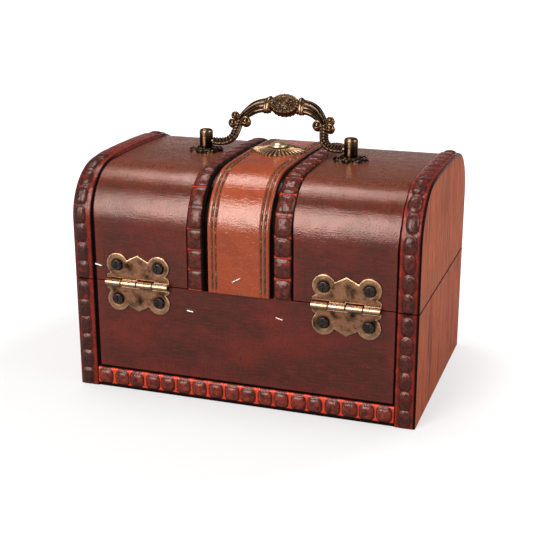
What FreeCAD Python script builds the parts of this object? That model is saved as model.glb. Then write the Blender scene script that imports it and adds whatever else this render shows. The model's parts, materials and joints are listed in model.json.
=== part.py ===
"""Small wooden treasure chest with an arched lid, a leather strap and antique brass fittings.

Millimetres. X runs along the width, Y from the front (-Y, latch) to the back (+Y, hinges) and Z up.
The origin is the centre of the footprint, on the surface that the chest stands on. Left and right are
those of someone who faces the front, so left is -X. Each piece is written to its own STEP file.
"""
import FreeCAD, Part
import math
import os

V = FreeCAD.Vector
X_AXIS = V(1, 0, 0)
Y_AXIS = V(0, 1, 0)
Z_AXIS = V(0, 0, 1)
ORIGIN = V(0, 0, 0)
TOLERANCE = 1e-4          # for telling an edge by its place

# Case boards
BOX_WIDTH = 160.0         # over the two end boards
BOX_DEPTH = 104.0         # over the front and back boards, without the trims
SPLIT_HEIGHT = 52.5       # parting plane between base and lid
LID_CROWN_HEIGHT = 104.2  # top of the bent lid board
CORNER_RADIUS = 24.0      # of the lid board's outer bends
CROWN_RADIUS = 700.0      # of the nearly flat top of the lid board
PARTING_GAP = 0.5         # between the closed lid and the base
END_BOARD = 6.0
WALL_BOARD = 5.0
FLOOR_BOARD = 4.0
LID_BOARD = 4.0
LINING = 0.8
OVERRUN = 1.0             # by which a cutter runs past what it cuts, or a joined piece into its neighbour

# Beaded trims
TRIM_PROUD = 2.0          # how far they stand out of the boards
TRIM_ROLL = 1.3           # radius of their rolled edges
END_TRIM_WIDTH = 9.4
END_BEAD_PITCH = 8.5
FOOT_TRIM_HEIGHT = 9.3
FOOT_BEAD_PITCH = 7.83
STRAP_TRIM_WIDTH = 8.2
STRAP_BEAD_PITCH = 9.3
BEAD_GROOVE_RADIUS = 0.9
BEAD_GROOVE_DEPTH = 0.7

# Leather strap
STRAP_WIDTH = 28.8
STRAP_THICKNESS = 1.8
STRAP_TRIM_GAP = 1.5      # between the strap and the trim at each side

# Butterfly hinges
HINGE_TRIM_GAP = 6.7      # between a leaf and the end trim beside it
LEAF_THICKNESS = 0.9
LEAF_HALF_WIDTH = 15.3
LEAF_EAR_HEIGHT = 3.3
LEAF_NICK_X = 13.4
LEAF_NICK_HEIGHT = 4.8
LEAF_VALLEY_X = 5.2
LEAF_VALLEY_HEIGHT = 10.4
LEAF_TIP_HEIGHT = 13.4
LOBE_RADIUS = 5.3
LOBE_HEIGHT = 8.4
HINGE_SCREW_HEIGHT = 8.1
HINGE_SCREW_X = 10.1
BARREL_RADIUS = 1.5
HINGE_PIN_RADIUS = 0.8
KNUCKLE_COUNT = 4
KNUCKLE_GAP = 0.3
PIN_CLEARANCE = 0.05
AXIS_STANDOFF = 0.1       # from the trims' outer faces to the lid's hinge axis
LEAF_CLEARANCE = 0.4      # between a leaf and the other leaf's knuckles

# Wood screws of the hinges
SCREW_HEAD_RADIUS = 2.5
SCREW_HEAD_HEIGHT = 0.9
SCREW_HEAD_ROUND = 0.5
SCREW_SHANK_RADIUS = 1.0
SCREW_HOLE_CLEARANCE = 0.1
SCREW_TIP_COVER = 0.6     # wood left inside the tip
SCREW_RECESS_WIDTH = 0.6
SCREW_RECESS_LENGTH = 3.0
SCREW_RECESS_DEPTH = 0.5

# Handle
POST_SPACING = 70.8
POST_RADIUS = 3.2
POST_HEIGHT = 10.4        # above the lid board's crown
POST_TOP_ROUND = 1.3
STUD_RADIUS = 1.5
STUD_CLEARANCE = 0.15
STUD_PAST_NUT = 0.8
NUT_RADIUS = 3.0
NUT_HEIGHT = 2.2
WASHER_RADIUS = 3.6
WASHER_THICKNESS = 0.6
PLATE_THICKNESS = 1.5
PLATE_DISC_RADIUS = 5.9
PETAL_COUNT = 8
PETAL_RADIUS = 2.3
PETAL_RING_RADIUS = 6.2
SEAT_GAP = 0.05           # under flat pieces on the slightly crowned lid
BAIL_PIVOT_HEIGHT = 4.9   # above the lid board's crown
BAIL_LEAN = 35.6          # degrees forward of upright, as it stands at rest
BAIL_PIN_RADIUS = 1.2
BAIL_PIN_PLAY = 0.05
BAIL_PIN_DEPTH = 3.6      # into the post
BAIL_END_GAP = 0.3        # between the bail's shoulder and the post

# Bail, in its own plane: distance along the width from the middle, then distance from the pivot axis
MEDALLION_CENTRE = 20.2
MEDALLION_HALF_WIDTH = 6.7
MEDALLION_HALF_HEIGHT = 5.5
MEDALLION_THICKNESS = 5.2
MEDALLION_ROUND = 1.2
COLLAR_X = 7.2
COLLAR_CENTRE = 20.1
COLLAR_HALF_HEIGHT = 4.7
COLLAR_HALF_THICKNESS = 2.7
COLLAR_WIDTH = 1.5
# station: x, r, half height in the plane, half thickness across it, slope of the run in degrees
UPPER_ARM = [(6.6, 20.1, 4.2, 2.3, 0.0), (11.5, 19.5, 3.7, 2.2, -12.0), (14.8, 18.0, 3.3, 2.1, -32.0),
             (17.2, 15.9, 2.8, 2.0, -47.0), (19.2, 13.6, 2.3, 1.9, -58.0), (20.8, 10.6, 2.1, 1.8, -72.0)]
LOWER_ARM = [(20.8, 10.6, 2.1, 1.8, -72.0), (21.5, 6.3, 2.2, 1.8, -86.0), (22.5, 2.9, 2.15, 1.8, -58.0),
             (24.9, 0.7, 2.05, 1.8, -28.0), (28.3, -0.1, 1.95, 1.8, -4.0)]
BAIL_END_RADIUS = 1.9
# volute: x, r, radius
VOLUTES = [(23.8, 9.6, 2.2), (23.3, 13.4, 2.0), (17.6, 10.7, 2.4)]
VOLUTE_THICKNESS = 3.8

# Sunburst rosette on the strap
ROSETTE_CENTRE_Y = -2.5
ROSETTE_HALF_WIDTH = 14.0
ROSETTE_EDGE = 0.5
ROSETTE_HEIGHT = 1.8
ROSETTE_TOP_HALF_WIDTH = 5.0
ROSETTE_NAIL_RADIUS = 3.75
ROSETTE_NAIL_HEIGHT = 2.4
ROSETTE_SHANK_RADIUS = 0.8
ROSETTE_SHANK_DEPTH = 2.5  # into the lid board

# Staples left in the wood: centre x and z, then the tilt of the crown in degrees
BASE_STAPLES = [(23.6, 42.2, -9.0), (-18.5, 43.5, -15.0)]
LID_STAPLE_INSET = 11.8    # from the right end of the box
LID_STAPLE_HEIGHT = 59.6
LID_STAPLE_TILT = -12.0
STRAP_STAPLES = [(0.7, 59.7, 29.0)]
STAPLE_CROWN = 2.8
STRAP_STAPLE_CROWN = 4.0
STAPLE_WIRE = 0.35        # radius
STAPLE_LEG = 2.0

# Front latch
LATCH_LEAF_SCALE = 0.72   # of its lid plate, to the hinge leaves whose outline it shares
LATCH_PLATE_THICKNESS = 0.8
HASP_AXIS_ABOVE_SPLIT = 8.0
HASP_AXIS_STANDOFF = 1.9  # from the strap's face
HASP_BARREL_RADIUS = 1.5
HASP_PIN_RADIUS = 0.75
HASP_KNUCKLE_WIDTH = 6.0
LATCH_BARREL_HALF_WIDTH = 7.5
HASP_THICKNESS = 1.0
HASP_BACK_STANDOFF = 1.2
HASP_NECK_HALF_WIDTH = 3.8
HASP_DISC_RADIUS = 6.2
HASP_TIP = 2.2            # past the disc
HASP_TIP_HALF_WIDTH = 3.0
HASP_LIFT = 27.0          # degrees out from the latched place, as it hangs at rest
HASP_SLOT_BELOW_AXIS = 16.5
SLOT_HALF_WIDTH = 4.0
SLOT_HALF_HEIGHT = 2.1
STAPLE_LOOP_RADIUS = 2.4
STAPLE_LOOP_WIRE = 0.8
STAPLE_LOOP_REACH = 3.4
STAPLE_LOOP_ROOT = 3.0    # into the wood behind the keeper plate
KEEPER_HALF_HEIGHT = 6.0
KEEPER_WAIST_X = 6.6
KEEPER_WAIST_HEIGHT = 2.0
KEEPER_LOBE_RADIUS = 2.9
NAIL_HEAD_RADIUS = 1.2
NAIL_HEAD_HEIGHT = 0.6
NAIL_SHANK_RADIUS = 0.5
NAIL_BITE = 4.0
KEEPER_NAIL_X = 8.3
LATCH_TIP_NAIL_HEIGHT = 7.8  # above the hasp's axis

# Worked out from the above
HALF_WIDTH = BOX_WIDTH / 2
HALF_DEPTH = BOX_DEPTH / 2
INNER_X = HALF_WIDTH - END_BOARD
BASE_TOP = SPLIT_HEIGHT - PARTING_GAP / 2
LID_BOTTOM = SPLIT_HEIGHT + PARTING_GAP / 2
TRIM_FACE = HALF_DEPTH + TRIM_PROUD
HINGE_AXIS_Y = TRIM_FACE + AXIS_STANDOFF
HINGE_X = HALF_WIDTH - END_TRIM_WIDTH - HINGE_TRIM_GAP - LEAF_HALF_WIDTH
STRAP_HALF = STRAP_WIDTH / 2
STRAP_FACE = HALF_DEPTH + STRAP_THICKNESS
STRAP_TOP = LID_CROWN_HEIGHT + STRAP_THICKNESS
STRAP_TRIM_X = STRAP_HALF + STRAP_TRIM_GAP
BAIL_AXIS_Z = LID_CROWN_HEIGHT + BAIL_PIVOT_HEIGHT
HASP_AXIS_Y = -(STRAP_FACE + HASP_AXIS_STANDOFF)
HASP_AXIS_Z = SPLIT_HEIGHT + HASP_AXIS_ABOVE_SPLIT
KEEPER_Z = HASP_AXIS_Z - HASP_SLOT_BELOW_AXIS
CORNER_Y = HALF_DEPTH - CORNER_RADIUS
CROWN_CENTRE_Z = LID_CROWN_HEIGHT - CROWN_RADIUS
CORNER_Z = CROWN_CENTRE_Z + math.sqrt((CROWN_RADIUS - CORNER_RADIUS) ** 2 - CORNER_Y ** 2)
CROWN_HALF_ANGLE = math.atan2(CORNER_Y, CORNER_Z - CROWN_CENTRE_Z)
BEND_ANGLE = math.pi / 2 - CROWN_HALF_ANGLE


def save(name, shapes):
    """Write one piece, or a group of separate like pieces, to its STEP file."""
    shape = shapes if isinstance(shapes, Part.Shape) else Part.makeCompound(shapes)
    if shape.isNull() or not shape.isValid():
        raise RuntimeError("bad shape: " + name)
    shape.exportStep("parts/" + name + ".step")


def block(x0, x1, y0, y1, z0, z1):
    return Part.makeBox(x1 - x0, y1 - y0, z1 - z0, V(x0, y0, z0))


def rod(radius, start, end):
    """Round bar between two points."""
    run = end - start
    return Part.makeCylinder(radius, run.Length, start, run)


def mirrored(shape, normal):
    return shape.mirror(ORIGIN, normal)


def polygon_plate(points, thickness_vector):
    """Plate with a straight-sided outline, swept along a vector."""
    wire = Part.makePolygon(points + points[:1])
    return Part.Face(wire).extrude(thickness_vector)


def fused(shapes):
    return shapes[0].fuse(shapes[1:]).removeSplitter()


def drilled(board, fasteners):
    """Board with the holes that its fasteners fill."""
    return board.cut(fasteners)


# ---- The lid's arch


def arch_wire(offset, x, bottom):
    """Closed outline of the lid's section, offset outwards from the lid board's outer face."""
    side = HALF_DEPTH + offset
    bend = CORNER_RADIUS + offset
    crown = CROWN_RADIUS + offset

    def on_bend(angle, hand):
        return V(x, hand * (CORNER_Y + bend * math.cos(angle)), CORNER_Z + bend * math.sin(angle))

    top = V(x, 0, CROWN_CENTRE_Z + crown)
    edges = [Part.LineSegment(V(x, -side, bottom), V(x, side, bottom)),
             Part.LineSegment(V(x, side, bottom), on_bend(0, 1)),
             Part.Arc(on_bend(0, 1), on_bend(BEND_ANGLE / 2, 1), on_bend(BEND_ANGLE, 1)),
             Part.Arc(on_bend(BEND_ANGLE, 1), top, on_bend(BEND_ANGLE, -1)),
             Part.Arc(on_bend(BEND_ANGLE, -1), on_bend(BEND_ANGLE / 2, -1), on_bend(0, -1)),
             Part.LineSegment(on_bend(0, -1), V(x, -side, bottom))]
    return Part.Wire([edge.toShape() for edge in edges])


def arch_block(offset, x0, x1, bottom=None):
    """Solid loaf with the lid's section, from x0 to x1."""
    floor = LID_BOTTOM if bottom is None else bottom
    return Part.Face(arch_wire(offset, x0, floor)).extrude(V(x1 - x0, 0, 0))


def arch_strip(x0, x1, inner, outer):
    """Band that follows the arch from the back edge over the top to the front edge."""
    return arch_block(outer, x0, x1).cut(arch_block(inner, x0, x1))


def arch_length(offset):
    """Run of the arch over its outer face, from the lid's back edge to its front edge."""
    side, bend, crown = arch_runs(offset)
    return 2 * side + 2 * bend + crown


def arch_runs(offset):
    side = CORNER_Z - LID_BOTTOM
    bend = (CORNER_RADIUS + offset) * BEND_ANGLE
    crown = (CROWN_RADIUS + offset) * 2 * CROWN_HALF_ANGLE
    return side, bend, crown


def arch_point(run, offset, lift):
    """Y and Z of the point at a run along the arch, lifted off its face."""
    side, bend, crown = arch_runs(offset)
    half = side + bend + crown / 2
    hand = 1
    if run > half:
        run = 2 * half - run
        hand = -1
    if run < side:
        return hand * (HALF_DEPTH + offset + lift), LID_BOTTOM + run
    if run < side + bend:
        angle = (run - side) / (CORNER_RADIUS + offset)
        reach = CORNER_RADIUS + offset + lift
        return hand * (CORNER_Y + reach * math.cos(angle)), CORNER_Z + reach * math.sin(angle)
    angle = (half - run) / (CROWN_RADIUS + offset)
    reach = CROWN_RADIUS + offset + lift
    return hand * reach * math.sin(angle), CROWN_CENTRE_Z + reach * math.cos(angle)


# ---- Beaded trims

GROOVE_LIFT = BEAD_GROOVE_RADIUS - BEAD_GROOVE_DEPTH


def groove_runs(length, pitch):
    """Places of the grooves between the beads, evenly spread about the middle."""
    count = int(length / pitch)
    first = (length - (count - 1) * pitch) / 2
    return [first + i * pitch for i in range(count)]


def rolled(shape, on_face):
    """Shape with its edges rolled where on_face says that they belong to the outer face."""
    edges = [edge for edge in shape.Edges if on_face(edge)]
    return shape.makeFillet(TRIM_ROLL, edges)


def middle(edge):
    return edge.valueAt((edge.FirstParameter + edge.LastParameter) / 2)


def arched_trim(x0, x1, pitch):
    """Beaded trim over the lid, between x0 and x1."""
    strip = arch_strip(x0, x1, 0, TRIM_PROUD)
    outline = Part.Wire(arch_wire(TRIM_PROUD, x0, LID_BOTTOM).Edges[1:])

    def outer_run(edge):
        point = middle(edge)
        along = abs(edge.Vertexes[0].X - edge.Vertexes[-1].X) < TOLERANCE
        on_side = V(x0, point.y, point.z)
        return along and outline.distToShape(Part.Vertex(on_side))[0] < TOLERANCE

    strip = rolled(strip, outer_run)
    cutters = []
    for run in groove_runs(arch_length(TRIM_PROUD), pitch):
        y, z = arch_point(run, TRIM_PROUD, GROOVE_LIFT)
        cutters.append(rod(BEAD_GROOVE_RADIUS, V(x0 - OVERRUN, y, z), V(x1 + OVERRUN, y, z)))
    return strip.cut(cutters)


def upright_trim(x0, x1, bottom, pitch):
    """Beaded trim up the back of the base, between x0 and x1."""
    strip = block(x0, x1, HALF_DEPTH, TRIM_FACE, bottom, BASE_TOP)

    def outer_edge(edge):
        return middle(edge).y > TRIM_FACE - TOLERANCE and middle(edge).z < BASE_TOP - TOLERANCE

    strip = rolled(strip, outer_edge)
    cutters = []
    for run in groove_runs(BASE_TOP - bottom, pitch):
        z = bottom + run
        y = TRIM_FACE + GROOVE_LIFT
        cutters.append(rod(BEAD_GROOVE_RADIUS, V(x0 - OVERRUN, y, z), V(x1 + OVERRUN, y, z)))
    return strip.cut(cutters)


def foot_trim(x0, x1):
    """Beaded trim along the foot of the back board, between x0 and x1."""
    strip = block(x0, x1, HALF_DEPTH, TRIM_FACE, 0, FOOT_TRIM_HEIGHT)

    def outer_edge(edge):
        level = abs(edge.Vertexes[0].Z - edge.Vertexes[-1].Z) < TOLERANCE
        return level and middle(edge).y > TRIM_FACE - TOLERANCE

    strip = rolled(strip, outer_edge)
    cutters = []
    for run in groove_runs(x1 - x0, FOOT_BEAD_PITCH):
        x = x0 + run
        y = TRIM_FACE + GROOVE_LIFT
        cutters.append(rod(BEAD_GROOVE_RADIUS, V(x, y, -OVERRUN), V(x, y, FOOT_TRIM_HEIGHT + OVERRUN)))
    return strip.cut(cutters)


# ---- Hinges


def knuckle_spans(half_width, count, gap):
    """Start and end of each knuckle along a barrel, from its middle."""
    length = (2 * half_width - (count - 1) * gap) / count
    starts = [-half_width + i * (length + gap) for i in range(count)]
    return [(start, start + length) for start in starts]


def hinge_screw_places(hand):
    """Centres of one leaf's screws on the back face: hand is 1 for the lid, -1 for the base."""
    z = SPLIT_HEIGHT + hand * HINGE_SCREW_HEIGHT
    return [(-HINGE_SCREW_X, z), (HINGE_SCREW_X, z)]


def butterfly(at, scale, thickness):
    """Plate with the hinge leaves' lobed outline; at places a point by its x and its height."""
    half = [(LEAF_HALF_WIDTH, 0), (LEAF_HALF_WIDTH, LEAF_EAR_HEIGHT), (LEAF_NICK_X, LEAF_NICK_HEIGHT),
            (HINGE_SCREW_X, LOBE_HEIGHT), (LEAF_VALLEY_X, LEAF_VALLEY_HEIGHT)]
    right = [at(scale * x, scale * height) for x, height in half]
    left = [at(-scale * x, scale * height) for x, height in half[::-1]]
    body = polygon_plate(right + [at(0, scale * LEAF_TIP_HEIGHT)] + left, thickness)
    lobe_x = LEAF_HALF_WIDTH - LOBE_RADIUS
    lobes = []
    for x in (-lobe_x, lobe_x):
        centre = at(scale * x, scale * LOBE_HEIGHT)
        lobes.append(rod(scale * LOBE_RADIUS, centre, centre + thickness))
    return fused([body] + lobes)


def hinge_leaf(centre_x, hand):
    """Leaf on the lid (hand 1) or on the base (hand -1), with its own knuckles."""

    def at(x, height, y=HALF_DEPTH):
        return V(centre_x + x, y, SPLIT_HEIGHT + hand * height)

    plate = butterfly(at, 1, V(0, LEAF_THICKNESS, 0))
    spans = knuckle_spans(LEAF_HALF_WIDTH, KNUCKLE_COUNT, KNUCKLE_GAP)
    own = spans[0::2] if hand > 0 else spans[1::2]
    other = spans[1::2] if hand > 0 else spans[0::2]
    reach = hand * (BARREL_RADIUS + LEAF_CLEARANCE)
    for start, end in other:
        low, high = sorted((SPLIT_HEIGHT - hand * OVERRUN, SPLIT_HEIGHT + reach))
        plate = plate.cut(block(centre_x + start - KNUCKLE_GAP, centre_x + end + KNUCKLE_GAP,
                                HALF_DEPTH - OVERRUN, HINGE_AXIS_Y, low, high))
    barrels = [rod(BARREL_RADIUS, at(start, 0, HINGE_AXIS_Y), at(end, 0, HINGE_AXIS_Y)) for start, end in own]
    leaf = fused([plate] + barrels)
    past_end = LEAF_HALF_WIDTH + OVERRUN
    bore_radius = HINGE_PIN_RADIUS + PIN_CLEARANCE
    bore = rod(bore_radius, at(-past_end, 0, HINGE_AXIS_Y), at(past_end, 0, HINGE_AXIS_Y))
    holes = []
    for x, z in hinge_screw_places(hand):
        inside = V(centre_x + x, HALF_DEPTH - OVERRUN, z)
        outside = V(centre_x + x, HALF_DEPTH + LEAF_THICKNESS + OVERRUN, z)
        holes.append(rod(SCREW_SHANK_RADIUS + SCREW_HOLE_CLEARANCE, inside, outside))
    return leaf.cut([bore] + holes)


def hinge_pin(centre_x):
    return rod(HINGE_PIN_RADIUS, V(centre_x - LEAF_HALF_WIDTH, HINGE_AXIS_Y, SPLIT_HEIGHT),
               V(centre_x + LEAF_HALF_WIDTH, HINGE_AXIS_Y, SPLIT_HEIGHT))


def wood_screw(x, z, board):
    """Cross-head screw driven forwards through a hinge leaf into a board of the given thickness."""
    seat = HALF_DEPTH + LEAF_THICKNESS
    face = seat + SCREW_HEAD_HEIGHT
    head = rod(SCREW_HEAD_RADIUS, V(x, seat, z), V(x, face, z))
    rim = [edge for edge in head.Edges if middle(edge).y > face - TOLERANCE]
    head = head.makeFillet(SCREW_HEAD_ROUND, rim)
    tip = HALF_DEPTH - board + SCREW_TIP_COVER
    bottom = face - SCREW_RECESS_DEPTH
    screw = head.fuse(rod(SCREW_SHANK_RADIUS, V(x, tip, z), V(x, bottom, z)))
    arm = SCREW_RECESS_LENGTH / 2
    slit = SCREW_RECESS_WIDTH / 2
    cross = [block(x - arm, x + arm, bottom, face + OVERRUN, z - slit, z + slit),
             block(x - slit, x + slit, bottom, face + OVERRUN, z - arm, z + arm)]
    return screw.cut(cross).removeSplitter()


def hinge_screws(hand, board):
    return [wood_screw(side * HINGE_X + x, z, board)
            for side in (-1, 1) for x, z in hinge_screw_places(hand)]


# ---- Handle


def stud_hole(x, bottom, top):
    """Clearance hole for a handle post's stud."""
    return rod(STUD_RADIUS + STUD_CLEARANCE, V(x, 0, bottom - OVERRUN), V(x, 0, top + OVERRUN))


def handle_plate(x):
    """Flower-shaped plate under a handle post."""
    bottom = LID_CROWN_HEIGHT
    petals = []
    for i in range(PETAL_COUNT):
        turn = 2 * math.pi * i / PETAL_COUNT
        centre = V(x + PETAL_RING_RADIUS * math.cos(turn), PETAL_RING_RADIUS * math.sin(turn), bottom)
        petals.append(Part.makeCylinder(PETAL_RADIUS, PLATE_THICKNESS, centre))
    disc = Part.makeCylinder(PLATE_DISC_RADIUS, PLATE_THICKNESS, V(x, 0, bottom))
    return fused([disc] + petals).cut(stud_hole(x, bottom, bottom + PLATE_THICKNESS))


def inner_crown():
    """Underside of the lid board at its middle."""
    return LID_CROWN_HEIGHT - LID_BOARD


def stud_bottom():
    return inner_crown() - SEAT_GAP - WASHER_THICKNESS - NUT_HEIGHT - STUD_PAST_NUT


def handle_post(hand):
    """Post with a blind cross bore for the bail's end, and a stud down through the lid."""
    x = hand * POST_SPACING / 2
    seat = LID_CROWN_HEIGHT + PLATE_THICKNESS
    top = LID_CROWN_HEIGHT + POST_HEIGHT
    head = Part.makeCylinder(POST_RADIUS, top - seat, V(x, 0, seat))
    rim = [edge for edge in head.Edges if middle(edge).z > top - TOLERANCE]
    head = head.makeFillet(POST_TOP_ROUND, rim)
    stud = rod(STUD_RADIUS, V(x, 0, stud_bottom()), V(x, 0, seat + OVERRUN))
    post = fused([head, stud])
    inner = POST_SPACING / 2 - POST_RADIUS
    mouth = V(hand * (inner - OVERRUN), 0, BAIL_AXIS_Z)
    end = V(hand * (inner + BAIL_PIN_DEPTH + BAIL_END_GAP), 0, BAIL_AXIS_Z)
    return post.cut(rod(BAIL_PIN_RADIUS + BAIL_PIN_PLAY, mouth, end))


def handle_washer(x):
    top = inner_crown() - SEAT_GAP
    ring = Part.makeCylinder(WASHER_RADIUS, WASHER_THICKNESS, V(x, 0, top - WASHER_THICKNESS))
    return ring.cut(stud_hole(x, top - WASHER_THICKNESS, top))


def handle_nut(x):
    top = inner_crown() - SEAT_GAP - WASHER_THICKNESS
    corners = [V(x + NUT_RADIUS * math.cos(math.pi * i / 3), NUT_RADIUS * math.sin(math.pi * i / 3), top)
               for i in range(6)]
    nut = polygon_plate(corners, V(0, 0, -NUT_HEIGHT))
    return nut.cut(rod(STUD_RADIUS, V(x, 0, top - NUT_HEIGHT - OVERRUN), V(x, 0, top + OVERRUN)))


def bail_section(x, r, half_height, half_thickness, slope):
    """Elliptical section of the bail, square to its run, in the upright bail plane."""
    ellipse = Part.Ellipse(ORIGIN, half_height, half_thickness)
    wire = Part.Wire([ellipse.toShape()])
    # the ellipse lies in XY with its long axis on X: stand it up across the run
    across = V(-math.sin(math.radians(slope)), 0, math.cos(math.radians(slope)))
    along = V(math.cos(math.radians(slope)), 0, math.sin(math.radians(slope)))
    turn = FreeCAD.Rotation(across, Y_AXIS, along, "ZXY")
    wire.Placement = FreeCAD.Placement(V(x, 0, BAIL_AXIS_Z + r), turn)
    return wire


def bail_half():
    """Right half of the bail, upright."""
    upper = Part.makeLoft([bail_section(*station) for station in UPPER_ARM], True, False)
    lower = Part.makeLoft([bail_section(*station) for station in LOWER_ARM], True, False)
    shoulder = POST_SPACING / 2 - POST_RADIUS - BAIL_END_GAP
    last_x, last_r = LOWER_ARM[-1][:2]
    end_z = BAIL_AXIS_Z + last_r
    end = rod(BAIL_END_RADIUS, V(last_x - OVERRUN, 0, end_z), V(shoulder, 0, end_z))
    pin_tip = POST_SPACING / 2 - POST_RADIUS + BAIL_PIN_DEPTH
    pin = rod(BAIL_PIN_RADIUS, V(shoulder - OVERRUN, 0, BAIL_AXIS_Z), V(pin_tip, 0, BAIL_AXIS_Z))
    pieces = [upper, lower, end, pin]
    for x, r, radius in VOLUTES:
        centre = V(x, -VOLUTE_THICKNESS / 2, BAIL_AXIS_Z + r)
        pieces.append(Part.makeCylinder(radius, VOLUTE_THICKNESS, centre, Y_AXIS))
    collar = bail_section(COLLAR_X, COLLAR_CENTRE, COLLAR_HALF_HEIGHT, COLLAR_HALF_THICKNESS, 0)
    pieces.append(Part.Face(collar).extrude(V(COLLAR_WIDTH, 0, 0)))
    return pieces


def handle_bail():
    """Cast bail: a medallion between two arms with volutes, leaning forwards as it stands."""
    rim = Part.Ellipse(ORIGIN, MEDALLION_HALF_WIDTH, MEDALLION_HALF_HEIGHT)
    face = Part.Face(Part.Wire([rim.toShape()]))
    medallion = face.extrude(V(0, 0, MEDALLION_THICKNESS))
    rims = [edge for edge in medallion.Edges if len(edge.Vertexes) == 1]
    medallion = medallion.makeFillet(MEDALLION_ROUND, rims)
    medallion.rotate(ORIGIN, X_AXIS, 90)
    medallion.translate(V(0, MEDALLION_THICKNESS / 2, BAIL_AXIS_Z + MEDALLION_CENTRE))
    right = bail_half()
    left = [mirrored(piece, X_AXIS) for piece in right]
    bail = fused([medallion] + right + left)
    bail.rotate(V(0, 0, BAIL_AXIS_Z), X_AXIS, BAIL_LEAN)
    return bail


# ---- Rosette, staples and linings


def diamond(half, z):
    centre = V(0, ROSETTE_CENTRE_Y, z)
    corners = [centre + step * half for step in (X_AXIS, Y_AXIS, -X_AXIS, -Y_AXIS)]
    return Part.makePolygon(corners + corners[:1])


def rosette_shank():
    bottom = V(0, ROSETTE_CENTRE_Y, LID_CROWN_HEIGHT - ROSETTE_SHANK_DEPTH)
    return rod(ROSETTE_SHANK_RADIUS, bottom, V(0, ROSETTE_CENTRE_Y, STRAP_TOP + ROSETTE_HEIGHT))


def rosette():
    """Diamond-shaped sunburst plate, raised to its middle."""
    rim = Part.Face(diamond(ROSETTE_HALF_WIDTH, STRAP_TOP)).extrude(V(0, 0, ROSETTE_EDGE))
    rise = Part.makeLoft([diamond(ROSETTE_HALF_WIDTH, STRAP_TOP + ROSETTE_EDGE),
                          diamond(ROSETTE_TOP_HALF_WIDTH, STRAP_TOP + ROSETTE_HEIGHT)], True, True)
    return fused([rim, rise]).cut(rosette_shank())


def rosette_nail():
    """Domed nail that holds the rosette."""
    seat = STRAP_TOP + ROSETTE_HEIGHT
    ball = (ROSETTE_NAIL_RADIUS ** 2 + ROSETTE_NAIL_HEIGHT ** 2) / (2 * ROSETTE_NAIL_HEIGHT)
    sphere = Part.makeSphere(ball, V(0, ROSETTE_CENTRE_Y, seat + ROSETTE_NAIL_HEIGHT - ball))
    above = Part.makeCylinder(ball, 2 * ball, V(0, ROSETTE_CENTRE_Y, seat))
    return fused([sphere.common(above), rosette_shank()])


def wire_staple(x, z, tilt, crown, face):
    """Wire staple driven into the back: its crown lies on the face and its legs go into the wood."""
    half = crown / 2
    y = face + STAPLE_WIRE
    bar = rod(STAPLE_WIRE, V(x - half, y, z), V(x + half, y, z))
    ends = [V(x - half, y, z), V(x + half, y, z)]
    legs = [rod(STAPLE_WIRE, end, end - Y_AXIS * STAPLE_LEG) for end in ends]
    elbows = [Part.makeSphere(STAPLE_WIRE, end) for end in ends]
    staple = fused([bar] + legs + elbows)
    staple.rotate(V(x, y, z), Y_AXIS, tilt)
    return staple


def base_lining():
    """Flocked card tray inside the base."""
    x = INNER_X
    y = HALF_DEPTH - WALL_BOARD
    outer = block(-x, x, -y, y, FLOOR_BOARD, BASE_TOP)
    inner = block(LINING - x, x - LINING, LINING - y, y - LINING, FLOOR_BOARD + LINING, BASE_TOP + OVERRUN)
    return outer.cut(inner)


def lid_lining():
    """Flocked card inside the lid, with holes for the handle's washers."""
    outer = arch_block(-LID_BOARD, -INNER_X, INNER_X)
    inner = arch_block(-LID_BOARD - LINING, -INNER_X + LINING, INNER_X - LINING, LID_BOTTOM - OVERRUN)
    hole_bottom = V(0, 0, inner_crown() - LID_BOARD / 2)
    hole = Part.makeCylinder(WASHER_RADIUS + STUD_CLEARANCE, LID_BOARD, hole_bottom)
    holes = [hole.translated(X_AXIS * (side * POST_SPACING / 2)) for side in (-1, 1)]
    return outer.cut([inner] + holes)


# ---- Front latch


def front_point(x, standoff, z):
    """Point in front of the strap's front face."""
    return V(x, -(STRAP_FACE + standoff), z)


def nail(x, z):
    """Round-headed nail through a latch plate, the strap and the board behind it."""
    seat = LATCH_PLATE_THICKNESS
    top = front_point(x, seat + NAIL_HEAD_HEIGHT, z)
    head = rod(NAIL_HEAD_RADIUS, front_point(x, seat, z), top)
    return fused([head, rod(NAIL_SHANK_RADIUS, front_point(x, seat - NAIL_BITE, z), top)])


def latch_lid_nails():
    """Nails in the two lobes and the tip of the lid's plate."""
    lobe_x = LATCH_LEAF_SCALE * (LEAF_HALF_WIDTH - LOBE_RADIUS)
    lobe_z = HASP_AXIS_Z + LATCH_LEAF_SCALE * LOBE_HEIGHT
    return [nail(-lobe_x, lobe_z), nail(0, HASP_AXIS_Z + LATCH_TIP_NAIL_HEIGHT), nail(lobe_x, lobe_z)]


def keeper_nails():
    return [nail(side * KEEPER_NAIL_X, KEEPER_Z) for side in (-1, 1)]


def on_hasp_axis(x):
    return V(x, HASP_AXIS_Y, HASP_AXIS_Z)


def latch_bore():
    past_end = LATCH_BARREL_HALF_WIDTH + OVERRUN
    return rod(HASP_PIN_RADIUS + PIN_CLEARANCE, on_hasp_axis(-past_end), on_hasp_axis(past_end))


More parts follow.
